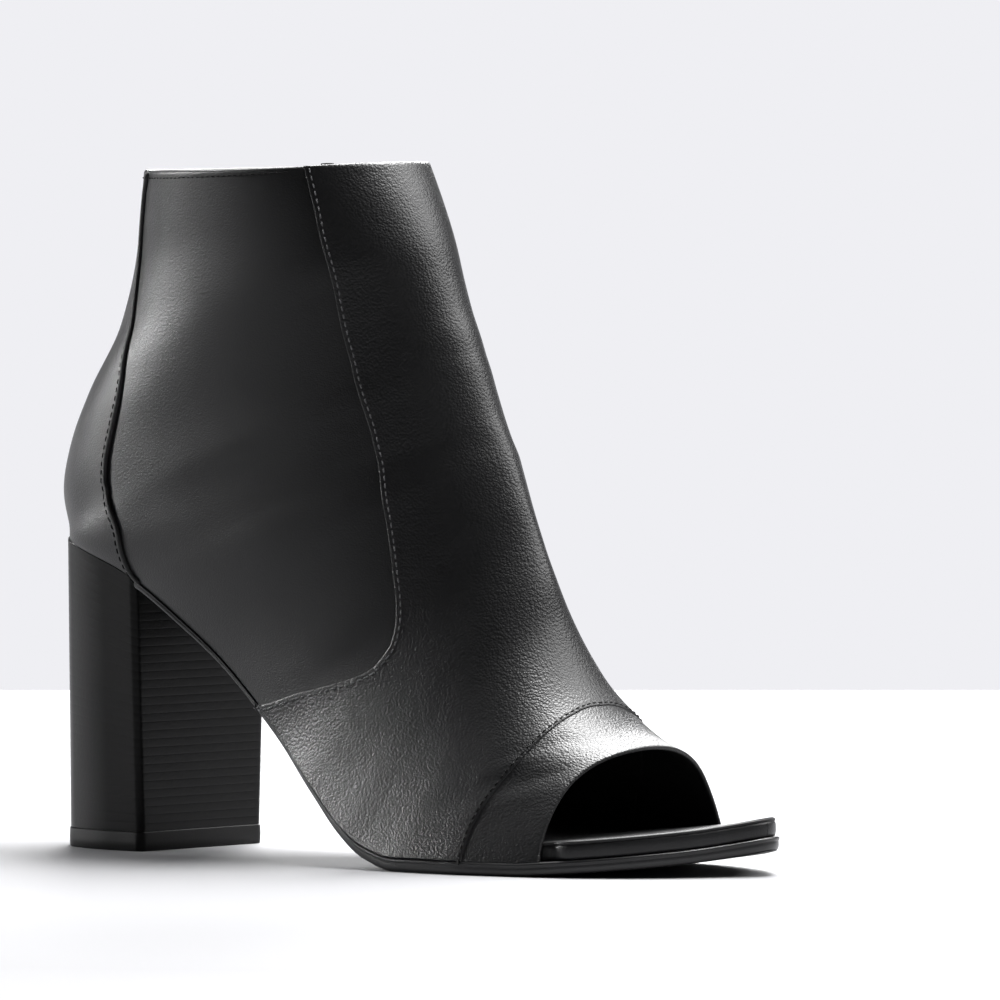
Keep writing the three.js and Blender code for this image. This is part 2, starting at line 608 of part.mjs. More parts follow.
const postBottom = sliderTop - POST_LENGTH - GAP * 2;
const teethBottom = ZIP_BOTTOM_Z + GAP + STOP_LENGTH + GAP;
function makeTeeth() {
  const rows = 2 * Math.round((postBottom - teethBottom) / TEETH_PITCH);
  const width = (i) => (i % 2 ? TEETH_WIDTH : TEETH_WAIST);
  return zipRibbon(teethBottom, postBottom, rows, 2, width, WALL - TEETH, WALL);
}

function makeStop() {
  const from = ZIP_BOTTOM_Z + GAP;
  return zipRibbon(from, from + STOP_LENGTH, 1, 1, () => TEETH_WIDTH, WALL - TEETH, WALL);
}

function makeSlider() {
  const faceZ = -PIN_STANDOFF;
  const middleY = -SLIDER_LENGTH / 2;
  const front = block(SLIDER_WIDTH, SLIDER_LENGTH, SLIDER_PLATE, 0, middleY, faceZ - SLIDER_PLATE / 2);
  const backFace = -pinDepth - tapeDepth - TAPE - 2 * GAP;
  const back = block(SLIDER_WIDTH, SLIDER_LENGTH, SLIDER_PLATE, 0, middleY, backFace - SLIDER_PLATE / 2);
  const postDepth = faceZ - backFace + SLIDER_PLATE;
  const post = block(POST_WIDTH, POST_LENGTH, postDepth, 0, -POST_LENGTH / 2, (faceZ + backFace) / 2);
  const crown = PIN_RADIUS + LUG_CROWN;
  const lugDepth = PIN_STANDOFF + SLIDER_PLATE / 2 + crown;
  const lug = block(LUG_WIDTH, LUG_LENGTH, lugDepth, 0, crown - LUG_LENGTH / 2, crown - lugDepth / 2);
  const hole = bar(PIN_RADIUS + PIN_CLEARANCE, LUG_WIDTH * 2);
  return toGeometry(front.add(back).add(post).add(lug).subtract(hole)).applyMatrix4(sliderFrame());
}

// The pull hangs from its own bar, which turns in the slider's lug
function makePull() {
  const half = PULL_WIDTH / 2;
  const outline = new THREE.Shape();
  outline.moveTo(-half, 0);
  outline.lineTo(-half, half - PULL_LENGTH);
  outline.absarc(0, half - PULL_LENGTH, half, Math.PI, 2 * Math.PI, false);
  outline.lineTo(half, 0);
  outline.closePath();
  const steps = { depth: PULL, bevelEnabled: false, curveSegments: PULL_SIDES };
  const plate = new THREE.ExtrudeGeometry(outline, steps);
  plate.translate(0, 0, -PULL / 2);
  const window = block(LUG_WIDTH + 2 * GAP, LUG_LENGTH * 2, PULL * 2, 0, 0, 0);
  const pull = toSolid(plate).subtract(window).add(bar(PIN_RADIUS, PULL_WIDTH));
  return toGeometry(pull).applyMatrix4(sliderFrame());
}

const leather = new THREE.MeshStandardMaterial({ color: 0x232324, roughness: 0.42, metalness: 0 });
const lining = new THREE.MeshStandardMaterial({ color: 0x1c1b1b, roughness: 0.6, metalness: 0 });
const soleEdge = new THREE.MeshStandardMaterial({ color: 0x161617, roughness: 0.5, metalness: 0 });
const stack = new THREE.MeshStandardMaterial({ color: 0x2b2a2a, roughness: 0.55, metalness: 0 });
const rubber = new THREE.MeshStandardMaterial({ color: 0x19191a, roughness: 0.7, metalness: 0 });
const ribbon = new THREE.MeshStandardMaterial({ color: 0x151515, roughness: 0.9, metalness: 0 });
const nylon = new THREE.MeshStandardMaterial({ color: 0x1b1b1c, roughness: 0.45, metalness: 0 });
const nickel = new THREE.MeshStandardMaterial({ color: 0xc9c9c6, roughness: 0.25, metalness: 1 });

const boot = new THREE.Group();
function addPiece(name, geometry, material) {
  const mesh = new THREE.Mesh(geometry, material);
  mesh.name = name;
  boot.add(mesh);
  return mesh;
}

addPiece("upper", makeUpper(), leather);
addPiece("footbed", makeFootbed(), lining);
addPiece("outsole", makeOutsole(), soleEdge);
addPiece("heel_block", makeHeel(), stack);
addPiece("heel_top_piece", makeHeelLift(), rubber);
addPiece("zip_tape", makeTape(), ribbon);
addPiece("zip_teeth", makeTeeth(), nylon);
addPiece("zip_bottom_stop", makeStop(), nickel);
addPiece("zip_slider", makeSlider(), nickel);
addPiece("zip_pull", makePull(), nickel);

// The boot's origin is the middle of its box, on the floor
const middle = new THREE.Box3().setFromObject(boot).getCenter(new THREE.Vector3());
boot.position.set(-middle.x, -middle.y, 0);

export default boot;
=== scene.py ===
"""Peep toe ankle boot for the right foot, seen from its outer side and front.
The frame is in metres, with +X at the toe, +Y on the wearer's left and +Z up.
Sizes below are in millimetres, from the back of the heel seat and the floor, until a piece is made."""

import math

import bmesh
import bpy
import numpy as np
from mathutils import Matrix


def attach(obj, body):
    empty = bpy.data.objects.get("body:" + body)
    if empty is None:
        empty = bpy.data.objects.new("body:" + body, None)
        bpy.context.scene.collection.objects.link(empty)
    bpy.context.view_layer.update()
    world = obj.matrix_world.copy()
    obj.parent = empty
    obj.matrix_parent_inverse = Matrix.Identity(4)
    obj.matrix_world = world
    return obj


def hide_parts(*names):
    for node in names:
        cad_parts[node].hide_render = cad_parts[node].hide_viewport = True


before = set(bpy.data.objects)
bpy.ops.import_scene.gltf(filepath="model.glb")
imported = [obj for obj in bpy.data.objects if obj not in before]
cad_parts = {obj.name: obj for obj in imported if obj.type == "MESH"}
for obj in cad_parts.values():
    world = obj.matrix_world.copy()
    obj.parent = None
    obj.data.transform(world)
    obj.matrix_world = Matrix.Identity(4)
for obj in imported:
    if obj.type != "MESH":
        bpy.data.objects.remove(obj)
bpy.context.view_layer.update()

# Camera. A long lens at collar height, 41 degrees round from the outer side, looks down
# a little, so that the boot stands low in the picture.
HEEL_BACK = np.array([-115.545, 0.059, 0.0])
camera_data = bpy.data.cameras.new("camera")
camera_data.sensor_width = 36
camera_data.lens = 378
camera_data.clip_end = 50
camera = bpy.data.objects.new("camera", camera_data)
camera.location = (np.array([2029.2, -2161.5, 191.0]) + HEEL_BACK) / 1000
camera.rotation_euler = (math.radians(88.173), 0, math.radians(41))
bpy.context.scene.collection.objects.link(camera)
bpy.context.scene.camera = camera


# Studio. A grey paper table, which glows with painted light more the further it is from
# the boot, ends 0.9 m behind it, in front of a low lit screen of pale lavender grey. Soft
# boxes stand above and behind, over the toes, at the left, behind the heel, and at the right.
def linear(hex_colour):
    """sRGB hex to linear red, green, blue and 1."""
    rgb = np.array([(hex_colour >> shift) & 255 for shift in (16, 8, 0)]) / 255
    low, high = rgb / 12.92, ((rgb + 0.055) / 1.055) ** 2.4
    return (*np.where(rgb <= 0.04045, low, high).tolist(), 1.0)


def node(tree, kind, settings=None, **links):
    """Adds a shader node, sets its properties, and fills or links its inputs by name."""
    made = tree.nodes.new(kind)
    for name, value in (settings or {}).items():
        setattr(made, name, value)
    for name, value in links.items():
        key = int(name[2:]) if name.startswith("in") and name[2:].isdigit() else name.replace("_", " ")
        if isinstance(value, bpy.types.NodeSocket):
            tree.links.new(value, made.inputs[key])
        else:
            made.inputs[key].default_value = value
    return made


def material(name):
    """A new material with an empty node tree, and its output node."""
    made = bpy.data.materials.new(name)
    made.use_nodes = True
    made.node_tree.nodes.clear()
    return made, made.node_tree, made.node_tree.nodes.new("ShaderNodeOutputMaterial")


def mesh_object(name, points, faces, finishes, face_finish=None, sharp=40):
    """A smooth mesh piece from points in metres. Points in one place are welded, and
    edges sharper than the angle stay sharp."""
    mesh = bpy.data.meshes.new(name)
    mesh.from_pydata(points.tolist(), [], np.asarray(faces).tolist())
    for finish in finishes:
        mesh.materials.append(finish)
    if face_finish is not None:
        mesh.polygons.foreach_set("material_index", np.asarray(face_finish, dtype=np.int32))
    work = bmesh.new()
    work.from_mesh(mesh)
    bmesh.ops.remove_doubles(work, verts=work.verts, dist=1e-6)
    work.to_mesh(mesh)
    work.free()
    mesh.polygons.foreach_set("use_smooth", np.ones(len(mesh.polygons), dtype=bool))
    mesh.set_sharp_from_angle(angle=math.radians(sharp))
    mesh.update()
    made = bpy.data.objects.new(name, mesh)
    bpy.context.scene.collection.objects.link(made)
    return made


def grid_faces(rows, columns):
    """Quads of a grid of points stored row by row."""
    i, j = np.meshgrid(np.arange(rows - 1), np.arange(columns - 1), indexing="ij")
    a = (i * columns + j).ravel()
    return np.stack([a, a + 1, a + columns + 1, a + columns], 1)


paper, tree, output = material("studio_paper")
place = node(tree, "ShaderNodeTexCoord").outputs["Object"]
away = node(tree, "ShaderNodeVectorMath", {"operation": "LENGTH"}, in0=place).outputs["Value"]
# Painted light: the table glows more the further it is from the origin under the boot, from none at 0.4 m to
# 0.9 at 1.6 m.
lit = node(
    tree, "ShaderNodeMapRange", Value=away, From_Min=0.4, From_Max=1.6, To_Min=0.0, To_Max=0.9,
)
shade = node(
    tree, "ShaderNodeBsdfPrincipled", Base_Color=linear(0x838385), Roughness=0.8,
    Emission_Strength=lit.outputs["Result"],
)
tree.links.new(shade.outputs[0], output.inputs["Surface"])
screen, tree, output = material("lit_lavender_screen")
glow = node(tree, "ShaderNodeEmission", Color=linear(0xEFEFF3), Strength=1.0)
tree.links.new(glow.outputs[0], output.inputs["Surface"])
view = np.array([-math.sin(math.radians(41)), math.cos(math.radians(41)), 0])
across = np.array([view[1], -view[0], 0])
table_rows = np.array([-2.0, 0.93])[:, None, None] * view
screen_rows = 1.6 * view + np.array([-0.3, 0.29])[:, None, None] * np.array([0, 0, 1])
for name, ends, half, finish in (
    ("paper_table", table_rows, 1.6, paper), ("screen", screen_rows, 1.8, screen),
):
    sheet = ends + np.array([-half, half])[None, :, None] * across
    mesh_object(name, sheet.reshape(-1, 3), [(0, 1, 3, 2)], [finish])

world = bpy.data.worlds.new("studio")
world.use_nodes = True
world.node_tree.nodes["Background"].inputs["Color"].default_value = linear(0xEEEEF3)
world.node_tree.nodes["Background"].inputs["Strength"].default_value = 0.05
bpy.context.scene.world = world
bpy.context.scene.view_settings.view_transform = "Standard"


def soft_box(name, place, aim, width, height, watts, spread=180):
    """A rectangular area light at a place in metres, turned to its aim, with a grid that
    narrows its beam to the spread in degrees."""
    data = bpy.data.lights.new(name, "AREA")
    data.shape, data.size, data.size_y, data.energy = "RECTANGLE", width, height, watts
    data.spread = math.radians(spread)
    made = bpy.data.objects.new(name, data)
    made.location = place
    away = np.array(place) - np.array(aim)
    made.rotation_euler = (
        math.atan2(math.hypot(away[0], away[1]), away[2]), 0, math.atan2(away[1], away[0]) + math.pi / 2,
    )
    bpy.context.scene.collection.objects.link(made)


soft_box("top_box", (-0.25, 0.6, 1.4), (-0.1, 0.15, 0), 0.9, 0.8, 64)
soft_box("left_box", (-1.2, -0.42, 0.6), (-0.09, 0, 0.205), 0.4, 0.5, 0.72, 18)
soft_box("right_box", (0.75, 0.75, 1.0), (0, 0, 0.1), 1.2, 0.8, 22)
soft_box("toe_box", (0.25, 0.3, 1.3), (0.08, 0, 0.03), 0.4, 0.4, 24)
soft_box("rim_box", (-0.9, 1.2, 0.8), (-0.1, 0, 0.1), 0.6, 0.6, 22)


# The last. The boot's leather was pulled over a wooden form, and everything on it
# follows that form: a sole outline, its walk from heel seat to toe, and sections
# that fan from the heel's back and the sole's edge up to the ridge of the instep.
LENGTH, HEIGHT, COLLAR_TOP = 236.0, 190.0, 192.0
SEAT_RISE, SHANK = 85.5, 2.5
SPRING_SKEW, OUTER_SAG = 0.25, 1.4
SEAT_TOP = SEAT_RISE + SHANK
SHAFT_RISE = HEIGHT - SEAT_TOP


def curve(xs, ys):
    """Piecewise cubic through the table's points that never swings past them."""
    xs, ys = np.asarray(xs, float), np.asarray(ys, float)
    step, slope = np.diff(xs), np.diff(ys) / np.diff(xs)
    before, after = slope[:-1], slope[1:]
    a, b = 2 * step[1:] + step[:-1], step[1:] + 2 * step[:-1]
    safe = before * after > 0
    inner = np.where(safe, (a + b) / (a / np.where(safe, before, 1) + b / np.where(safe, after, 1)), 0)
    tangent = np.concatenate([[slope[0]], inner, [slope[-1]]])

    def value(x):
        x = np.clip(np.asarray(x, float), xs[0], xs[-1])
        i = np.clip(np.searchsorted(xs, x, side="right") - 1, 0, len(xs) - 2)
        h = step[i]
        t = (x - xs[i]) / h
        near = (1 + 2 * t) * (1 - t) ** 2 * ys[i] + t * (1 - t) ** 2 * h * tangent[i]
        return near + t**2 * (3 - 2 * t) * ys[i + 1] + t**2 * (t - 1) * h * tangent[i + 1]

    return value


def ease(x, start, end):
    """0 before start, 1 after end, smooth between."""
    t = np.clip((np.asarray(x, float) - start) / (end - start), 0, 1)
    return t * t * (3 - 2 * t)


# Share of the length; outer and inner half width in millimetres
OUTLINE = np.array([
    (0, 0, 0), (0.017, 15.5, 15.5), (0.051, 24, 24), (0.119, 28.2, 28.2), (0.18, 28.2, 26.8),
    (0.3, 25.8, 20.7), (0.39, 28.1, 18.9), (0.475, 34, 23.1), (0.568, 39.5, 32), (0.636, 41, 38.1),
    (0.7, 40.5, 40.9), (0.771, 37, 40.5), (0.839, 31, 38.5), (0.898, 21.5, 34), (0.945, 10, 27.9),
    (0.979, -2, 21.1), (1, -12, 12),
])
# Share of the length; height of the underside, and the sole's thickness
WALK = np.array([
    (0, 85.5, 2.5), (0.085, 81, 2.5), (0.17, 73.6, 2.5), (0.254, 60.5, 2.5), (0.339, 45, 2.5),
    (0.407, 31.8, 2.6), (0.475, 18.6, 2.9), (0.525, 9.2, 3.3), (0.576, 2.6, 3.6), (0.623, 0, 3.8),
    (0.746, 0, 3.8), (0.78, 0.4, 3.84), (0.814, 0.9, 3.9), (0.847, 1.5, 3.9), (0.898, 2.6, 3.93),
    (0.949, 4, 3.93), (0.979, 5.2, 3.93), (1.017, 7, 3.93),
])
# Station along the sole, or minus the rise up the heel's back; the ridge's place and
# height; half width; how sharp the top is; how full the back is; ridge to the inner
# side; and the back line's place
SECTIONS = np.array([
    (-102, 116, 192, 30.5, 0.5, 1, 0, 26), (-78, 122.3, 180.5, 30.5, 0.5, 1, 0, 22.6),
    (-57, 127.2, 170, 30.6, 0.5, 0.96, 0, 16.6), (-37, 130.9, 159.5, 31, 0.51, 0.91, 0.5, 4.4),
    (-22, 134, 151.2, 31.2, 0.52, 0.87, 1, -2.3), (-10, 137.2, 144, 31.3, 0.53, 0.83, 1.5, -4.9),
    (-4, 138.8, 139.5, 31.4, 0.535, 0.8, 1.8, -3.4), (0, 140, 136.6, 31.5, 0.54, 0.78, 2, 0),
    (12, 142.5, 129.5, 31.2, 0.557, 0.83, 2.5, 0), (28, 145.1, 122.6, 30.2, 0.575, 0.9, 3, 0),
    (43, 147.6, 117.2, 28.1, 0.595, 0.95, 3.5, 0), (58, 150, 112, 25.9, 0.61, 1, 4, 0),
    (86, 154.8, 100.5, 21.1, 0.62, 1, 4, 0), (113, 159.7, 89, 13, 0.61, 1, 4.5, 0),
    (135, 164.4, 77.5, 8.1, 0.6, 1, 4.5, 0), (153, 168, 67, 6.9, 0.58, 1, 5, 0),
    (170, 172.8, 56.5, 8.9, 0.55, 1, 5, 0), (186, 179.4, 47, 12.6, 0.52, 1, 5.5, 0),
    (200, 189.5, 38.5, 15, 0.5, 1, 5.5, 0), (211, 202, 32.9, 17, 0.5, 1, 6, 0),
    (222, 212, 28, 15, 0.5, 1, 6, 0),
])


def turn(x):
    """Angle round a circle over the length, so that both ends of the outline are round."""
    return np.arccos(np.clip(1 - 2 * np.asarray(x, float) / LENGTH, -1, 1))


outline_outer = curve(turn(OUTLINE[:, 0] * LENGTH), OUTLINE[:, 1])
outline_inner = curve(turn(OUTLINE[:, 0] * LENGTH), OUTLINE[:, 2])
walk_height = curve(WALK[:, 0] * LENGTH, WALK[:, 1])
walk_layer = curve(WALK[:, 0] * LENGTH, WALK[:, 2])
ridge_x, ridge_z, wide, taper, fullness, ridge_y, back_x = (
    curve(SECTIONS[:, 0], SECTIONS[:, c]) for c in range(1, 8)
)


def half_width(x, side):
    """Half width of the sole, -1 for the outer and 1 for the inner side."""
    return np.where(np.asarray(side) < 0, outline_outer(turn(x)), outline_inner(turn(x)))


def rolled(x, y):
    """Place along the sole, moved so that the inner side of the toe lifts earlier."""
    return x + SPRING_SKEW * y * ease(x, 140, 190)


def underside(x, y):
    """Height of the sole's underside."""
    return walk_height(rolled(x, y))


def feather(x, y):
    """Height of the upper's lower edge, on top of the sole."""
    return underside(x, y) + walk_layer(rolled(x, y))


def last_point(q, s, side):
    """Point of the last at station q. s runs from 0 at the sole or back line to 1 at the
    ridge. The fan line is straight in side view, and its half width is the root of the
    sole's half width squared and a round term that grows from the back, narrowed towards
    the ridge."""
    q, s = np.broadcast_arrays(np.asarray(q, float), np.asarray(s, float))
    v = (1 - np.cos(np.pi * s)) / 2
    on_sole = q >= 0
    x = np.where(on_sole, q, back_x(q))
    half = np.where(on_sole, half_width(np.clip(q, 0, LENGTH), side), 0)
    z = np.where(on_sole, feather(x, side * half), SEAT_TOP - q)
    held = half**2 * np.maximum(1 - v, 1e-9) ** (3 * (1 - ease(q, 0, 60)))
    reach = np.sqrt(held + 4 * wide(q) ** 2 * v ** fullness(q))
    y = ridge_y(q) * v + side * reach * (1 - v) ** taper(q)
    sag = np.where(np.asarray(side) < 0, OUTER_SAG, 0) * 4 * v * (1 - v) * ease(-q, 51, 102)
    return np.stack([x + (ridge_x(q) - x) * v, y, z + (ridge_z(q) - z) * v - sag], -1)


# Soft troughs (-) and ridges (+) of the worn-in leather: station, s and side of the
# middle, length and width across, turn from the fan line in degrees, height. A crease
# ends within its depth, so that it stays on its own side.
CREASE_DEPTH = 14
CREASES = np.array([
    (176, 0.46, -1, 16, 3.2, 62, -0.28), (179, 0.54, -1, 15, 2.8, 58, 0.25),
    (183, 0.6, -1, 14, 2.6, 56, -0.24), (186, 0.66, -1, 12, 2.6, 60, 0.2),
    (190, 0.7, -1, 10, 2.4, 62, -0.2), (180, 0.4, -1, 12, 3, 70, 0.2),
    (186, 0.5, -1, 11, 2.4, 62, -0.22), (190, 0.57, -1, 10, 2.2, 60, 0.18), (180, 0.55, 1, 14, 3, -60, -0.25),
    (186, 0.62, 1, 12, 2.8, -58, 0.2), (150, 0.78, -1, 22, 7, 15, -0.2), (128, 0.72, -1, 26, 9, 10, 0.2),
    (118, 0.8, 1, 24, 8, -10, -0.2), (45, 0.42, -1, 42, 20, 6, 0.2), (5, 0.5, -1, 45, 20, 2, -0.2),
    (15, 0.5, 1, 42, 18, -4, -0.25), (-30, 0.45, 1, 40, 18, 0, 0.2),
])


def relief(points):
    """Height of the creases at points on the last: each is a smooth hump, longer than wide."""
    height = np.zeros(points.shape[:-1])
    for q, s, side, length, across, degrees, rise in CREASES:
        middle = last_point(q, s, side)
        fan = last_point(q, s + 0.02, side) - last_point(q, s - 0.02, side)
        fan /= np.linalg.norm(fan)
        along = last_point(q + 1, s, side) - last_point(q - 1, s, side)
        along -= fan * (along @ fan)
        along /= np.linalg.norm(along)
        a = math.radians(degrees)
        away = points - middle
        u = away @ (fan * math.cos(a) + along * math.sin(a)) / length
        w = away @ (along * math.cos(a) - fan * math.sin(a)) / across
        off = away @ np.cross(fan, along) / CREASE_DEPTH
        height += rise * np.exp(-0.5 * (u**2 + w**2 + off**2) * 2)
    return height


def outward(q, s, side):
    """Outward unit normal of the last, across small steps in station and in s."""
    q, s = np.broadcast_arrays(np.asarray(q, float), np.asarray(s, float))
    up = last_point(q, np.minimum(s + 0.004, 1), side) - last_point(q, np.maximum(s - 0.004, 0), side)
    down = last_point(q + 0.4, s, side) - last_point(q - 0.4, s, side)
    normal = np.cross(up, down) * side
    normal[..., 1] = np.where((s > 0.999) | ((s < 0.001) & (q < 0)), 0, normal[..., 1])
    return normal / np.linalg.norm(normal, axis=-1, keepdims=True)


CLEAR_OF_SOLE = 1.5


def panel(name, points, thickness, finishes, kept=None, fold=0.45, replaces=()):
    """A sheet of leather from a grid of its outside: thickened inwards, its back in the last
    of its finishes, and its edge rounded except where it goes under the sole. Only edges
    used by one face, with both ends clear of the sole, are rounded."""
    faces = grid_faces(*points.shape[:2])
    if kept is not None:
        faces = faces[kept.ravel()]
    made = mesh_object(name, (points.reshape(-1, 3) + HEEL_BACK) / 1000, faces, finishes, None, 80)
    wall = made.modifiers.new("wall", "SOLIDIFY")
    wall.thickness, wall.offset = thickness / 1000, -1
    wall.material_offset, wall.material_offset_rim = len(finishes) - 1, 0
    if fold:
        mesh = made.data
        places = np.empty(len(mesh.vertices) * 3)
        mesh.vertices.foreach_get("co", places)
        places = places.reshape(-1, 3) * 1000 - HEEL_BACK
        clear = places[:, 2] > feather(places[:, 0], places[:, 1]) + CLEAR_OF_SOLE
        ends = np.empty(len(mesh.edges) * 2, dtype=np.int32)
        mesh.edges.foreach_get("vertices", ends)
        used = np.empty(len(mesh.loops), dtype=np.int32)
        mesh.loops.foreach_get("edge_index", used)
        free = np.bincount(used, minlength=len(mesh.edges)) == 1
        free &= clear[ends.reshape(-1, 2)].all(axis=1)
        weights = mesh.attributes.new("bevel_weight_edge", "FLOAT", "EDGE")
        weights.data.foreach_set("value", free.astype(np.float32))
        edge = made.modifiers.new("fold", "BEVEL")
        edge.width, edge.segments, edge.limit_method = fold * thickness / 1000, 4, "WEIGHT"
        edge.use_clamp_overlap = False
    if replaces:
        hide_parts(*replaces)
    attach(made, "boot")


# Leathers. The quarters are black calf, glazed to a satin: nearly black, with broad soft
# highlights and a faint grain of 0.5 mm. The vamp is of the same hide, milled until
# its grain stands up in pebbles about 0.7 mm across.
def hide(name, colour, roughness, pebble_mm, pebble, fine):
    """Black leather: pebbles are cells with soft furrows between, over a fine noise."""
    made, tree, output = material(name)
    place = node(tree, "ShaderNodeTexCoord").outputs["Object"]
    warp = node(tree, "ShaderNodeTexNoise", Vector=place, Scale=220.0, Detail=2.0)
    bend = node(
        tree, "ShaderNodeVectorMath", {"operation": "SCALE"}, in0=warp.outputs["Color"], Scale=0.0012,
    )
    moved = node(
        tree, "ShaderNodeVectorMath", {"operation": "ADD"}, in0=place, in1=bend.outputs["Vector"],
    )
    cells = node(
        tree, "ShaderNodeTexVoronoi", {"feature": "SMOOTH_F1"}, Vector=moved.outputs["Vector"],
        Scale=1000 / pebble_mm, Smoothness=0.22,
    )
    large = node(tree, "ShaderNodeTexNoise", Vector=place, Scale=45.0, Detail=3.0)
    dust = node(tree, "ShaderNodeTexNoise", Vector=place, Scale=2600.0, Detail=3.0)
    bump = node(
        tree, "ShaderNodeBump", {"invert": True}, Strength=pebble, Distance=0.0004,
        Height=cells.outputs["Distance"],
    )
    grain = node(
        tree, "ShaderNodeBump", Strength=fine, Distance=0.0001, Height=dust.outputs["Fac"],
        Normal=bump.outputs["Normal"],
    )
    sheen = node(
        tree, "ShaderNodeMapRange", Value=large.outputs["Fac"], To_Min=roughness - 0.05,
        To_Max=roughness + 0.07,
    )
    tone = node(
        tree, "ShaderNodeMix", {"data_type": "RGBA"}, in0=large.outputs["Fac"], in6=linear(colour),
        in7=linear(colour + 0x050505),
    )
    shade = node(
        tree, "ShaderNodeBsdfPrincipled", Base_Color=tone.outputs[2], Roughness=sheen.outputs["Result"],
        Normal=grain.outputs["Normal"],
    )
    shade.inputs["IOR"].default_value = 1.42
    tree.links.new(shade.outputs[0], output.inputs["Surface"])
    return made


satin_calf = hide("black_satin_calf", 0x0E0E0F, 0.4, 0.5, 0.14, 0.35)
pebbled_calf = hide("black_pebbled_calf", 0x0E0E0F, 0.4, 0.68, 0.3, 0.4)
lining_skin = hide("black_lining_skin", 0x0D0D0D, 0.62, 0.8, 0.15, 0.3)

# Seams. Station and s of the vamp's rear edge from the collar to the sole, of its front
# edge over the toes, and of the back panel's edge, the same on both sides.
def smooth_path(table, count):
    """Evenly spaced points along a soft curve through the table's points."""
    table = np.asarray(table, float)
    step = np.hypot(np.diff(table[:, 0]), np.diff(table[:, 1]) * 90)
    reach = np.concatenate([[0], np.cumsum(step)])
    t = np.linspace(0, reach[-1], count)
    return curve(reach, table[:, 0])(t), curve(reach, table[:, 1])(t)


VAMP_REAR = [
    (-102, 0.718), (-70, 0.717), (-37.8, 0.735), (-12.6, 0.738), (14.3, 0.721), (31, 0.7), (63.3, 0.643),
    (82.8, 0.596), (93.5, 0.562), (101.4, 0.524), (104.9, 0.485), (105.1, 0.447), (102.6, 0.4), (97.4, 0.33),
    (91.8, 0.24), (88.2, 0.13), (85.3, 0),
]
VAMP_FRONT = [
    (171, 0), (170.8, 0.15), (170.9, 0.25), (171.9, 0.328), (175, 0.434), (179.5, 0.536), (183.8, 0.646),
    (186.9, 0.736), (189.2, 0.841), (190.6, 1),
]
BACK_PANEL = [
    (-102, 0.262), (-93.5, 0.24), (-85.4, 0.234), (-71.5, 0.249), (-59.9, 0.273), (-50, 0.3), (-33.5, 0.34),
    (-25.6, 0.347), (-17.8, 0.344), (-10.3, 0.337), (-3.4, 0.326), (6.5, 0.296), (20.7, 0.238), (32.2, 0.148),
    (43.8, 0),
]

# Upper. Back panel and quarters, closed on the last as one wall of calf and lining, with
# a slot for the zip on the inner side, and the toe band in front of them. The collar,
# the slot and the open toe are folded over, so their edges are round.
OPEN_OUTER, OPEN_INNER, OPEN_TOP = 193.0, 199.0, 209.0
WALL, BAND_WALL, SLOT_WIDTH, ZIP_SAMPLES = 1.8, 1.3, 6.4, 4000
ZIP_TOP_X, ZIP_LOW_X, ZIP_LOW_Z, UNDERLAP = 58.5, 65.0, 98.0, 4.0


def opening_station(s, side):
    """Station of the toe opening's edge, furthest forward on the ridge."""
    v = (1 - np.cos(np.pi * s)) / 2
    foot = np.where(np.asarray(side) < 0, OPEN_OUTER, OPEN_INNER)
    return foot + (OPEN_TOP - foot) * v**1.6


def band_station(s):
    """Station of the joint between quarters and toe band, under the vamp's front edge."""
    table = np.array(VAMP_FRONT)
    return curve(table[:, 1], table[:, 0])(s) - UNDERLAP


def zip_share(q, shift):
    """s on the inner side where the fan line of station q crosses a line beside the zip."""
    s = np.linspace(0, 1, ZIP_SAMPLES)
    points = last_point(np.asarray(q).reshape(-1, 1), s, 1)
    line = ZIP_TOP_X + (COLLAR_TOP - points[..., 2]) * (ZIP_LOW_X - ZIP_TOP_X) / (COLLAR_TOP - ZIP_LOW_Z)
    found = np.argmin(np.abs(points[..., 0] - line - shift), axis=1)
    return s[found].reshape(np.shape(q))


def both_sides(q, s, proud=0.0):
    """Grid of the creased surface, its inner and outer half joined at the ridge, each with
    columns from the sole to the ridge; q and s are each given for the inner and the outer
    side. It stands proud, but not upwards at the collar."""
    halves = []
    for side, q_, s_ in zip((1, -1), q, s):
        points, normal = last_point(q_, s_, side), outward(q_, s_, side)
        normal[..., 2] *= ease(q_, -SHAFT_RISE, 3 - SHAFT_RISE)
        halves.append(points + normal * (relief(points) + proud)[..., None])
    return np.concatenate([halves[0], halves[1][:, ::-1][:, 1:]], 1)


SHAFT_ROWS, FOOT_ROWS, HALF_COLUMNS = 68, 92, 84
row = np.arange(SHAFT_ROWS + FOOT_ROWS + 1)[:, None]
share = np.linspace(0, 1, HALF_COLUMNS + 1)[None, :]
shaft = -SHAFT_RISE * (1 - row / SHAFT_ROWS)
down = (np.maximum(row - SHAFT_ROWS, 0) / FOOT_ROWS) ** 1.15
zip_rows = np.linspace(-SHAFT_RISE, 30, 60)
zip_back = curve(zip_rows, zip_share(zip_rows, -SLOT_WIDTH / 2))
zip_front = curve(zip_rows, zip_share(zip_rows, SLOT_WIDTH / 2))
grids = []
for side_ in (1, -1):
    q = np.where(row <= SHAFT_ROWS, shaft, band_station(share) * down)
    s = share + 0 * row
    if side_ > 0:
        back, front = zip_back(q), zip_front(q)
        warped = np.interp(share[0], [0, 0.36, 0.44, 1], [0, 1, 2, 3])
        near = np.clip(warped, 0, 1) * back + np.clip(warped - 1, 0, 1) * (front - back)
        s = near + np.clip(warped - 2, 0, 1) * (1 - front)
        z = last_point(q, s, 1)[..., 2]
        in_slot = (warped[:-1] >= 0.999) & (warped[1:] <= 2.001)
        open_cell = in_slot[None, :] & (z[1:, :-1] > ZIP_LOW_Z)
    grids.append((q, s))
face = both_sides((grids[0][0], grids[1][0]), (grids[0][1], grids[1][1]))

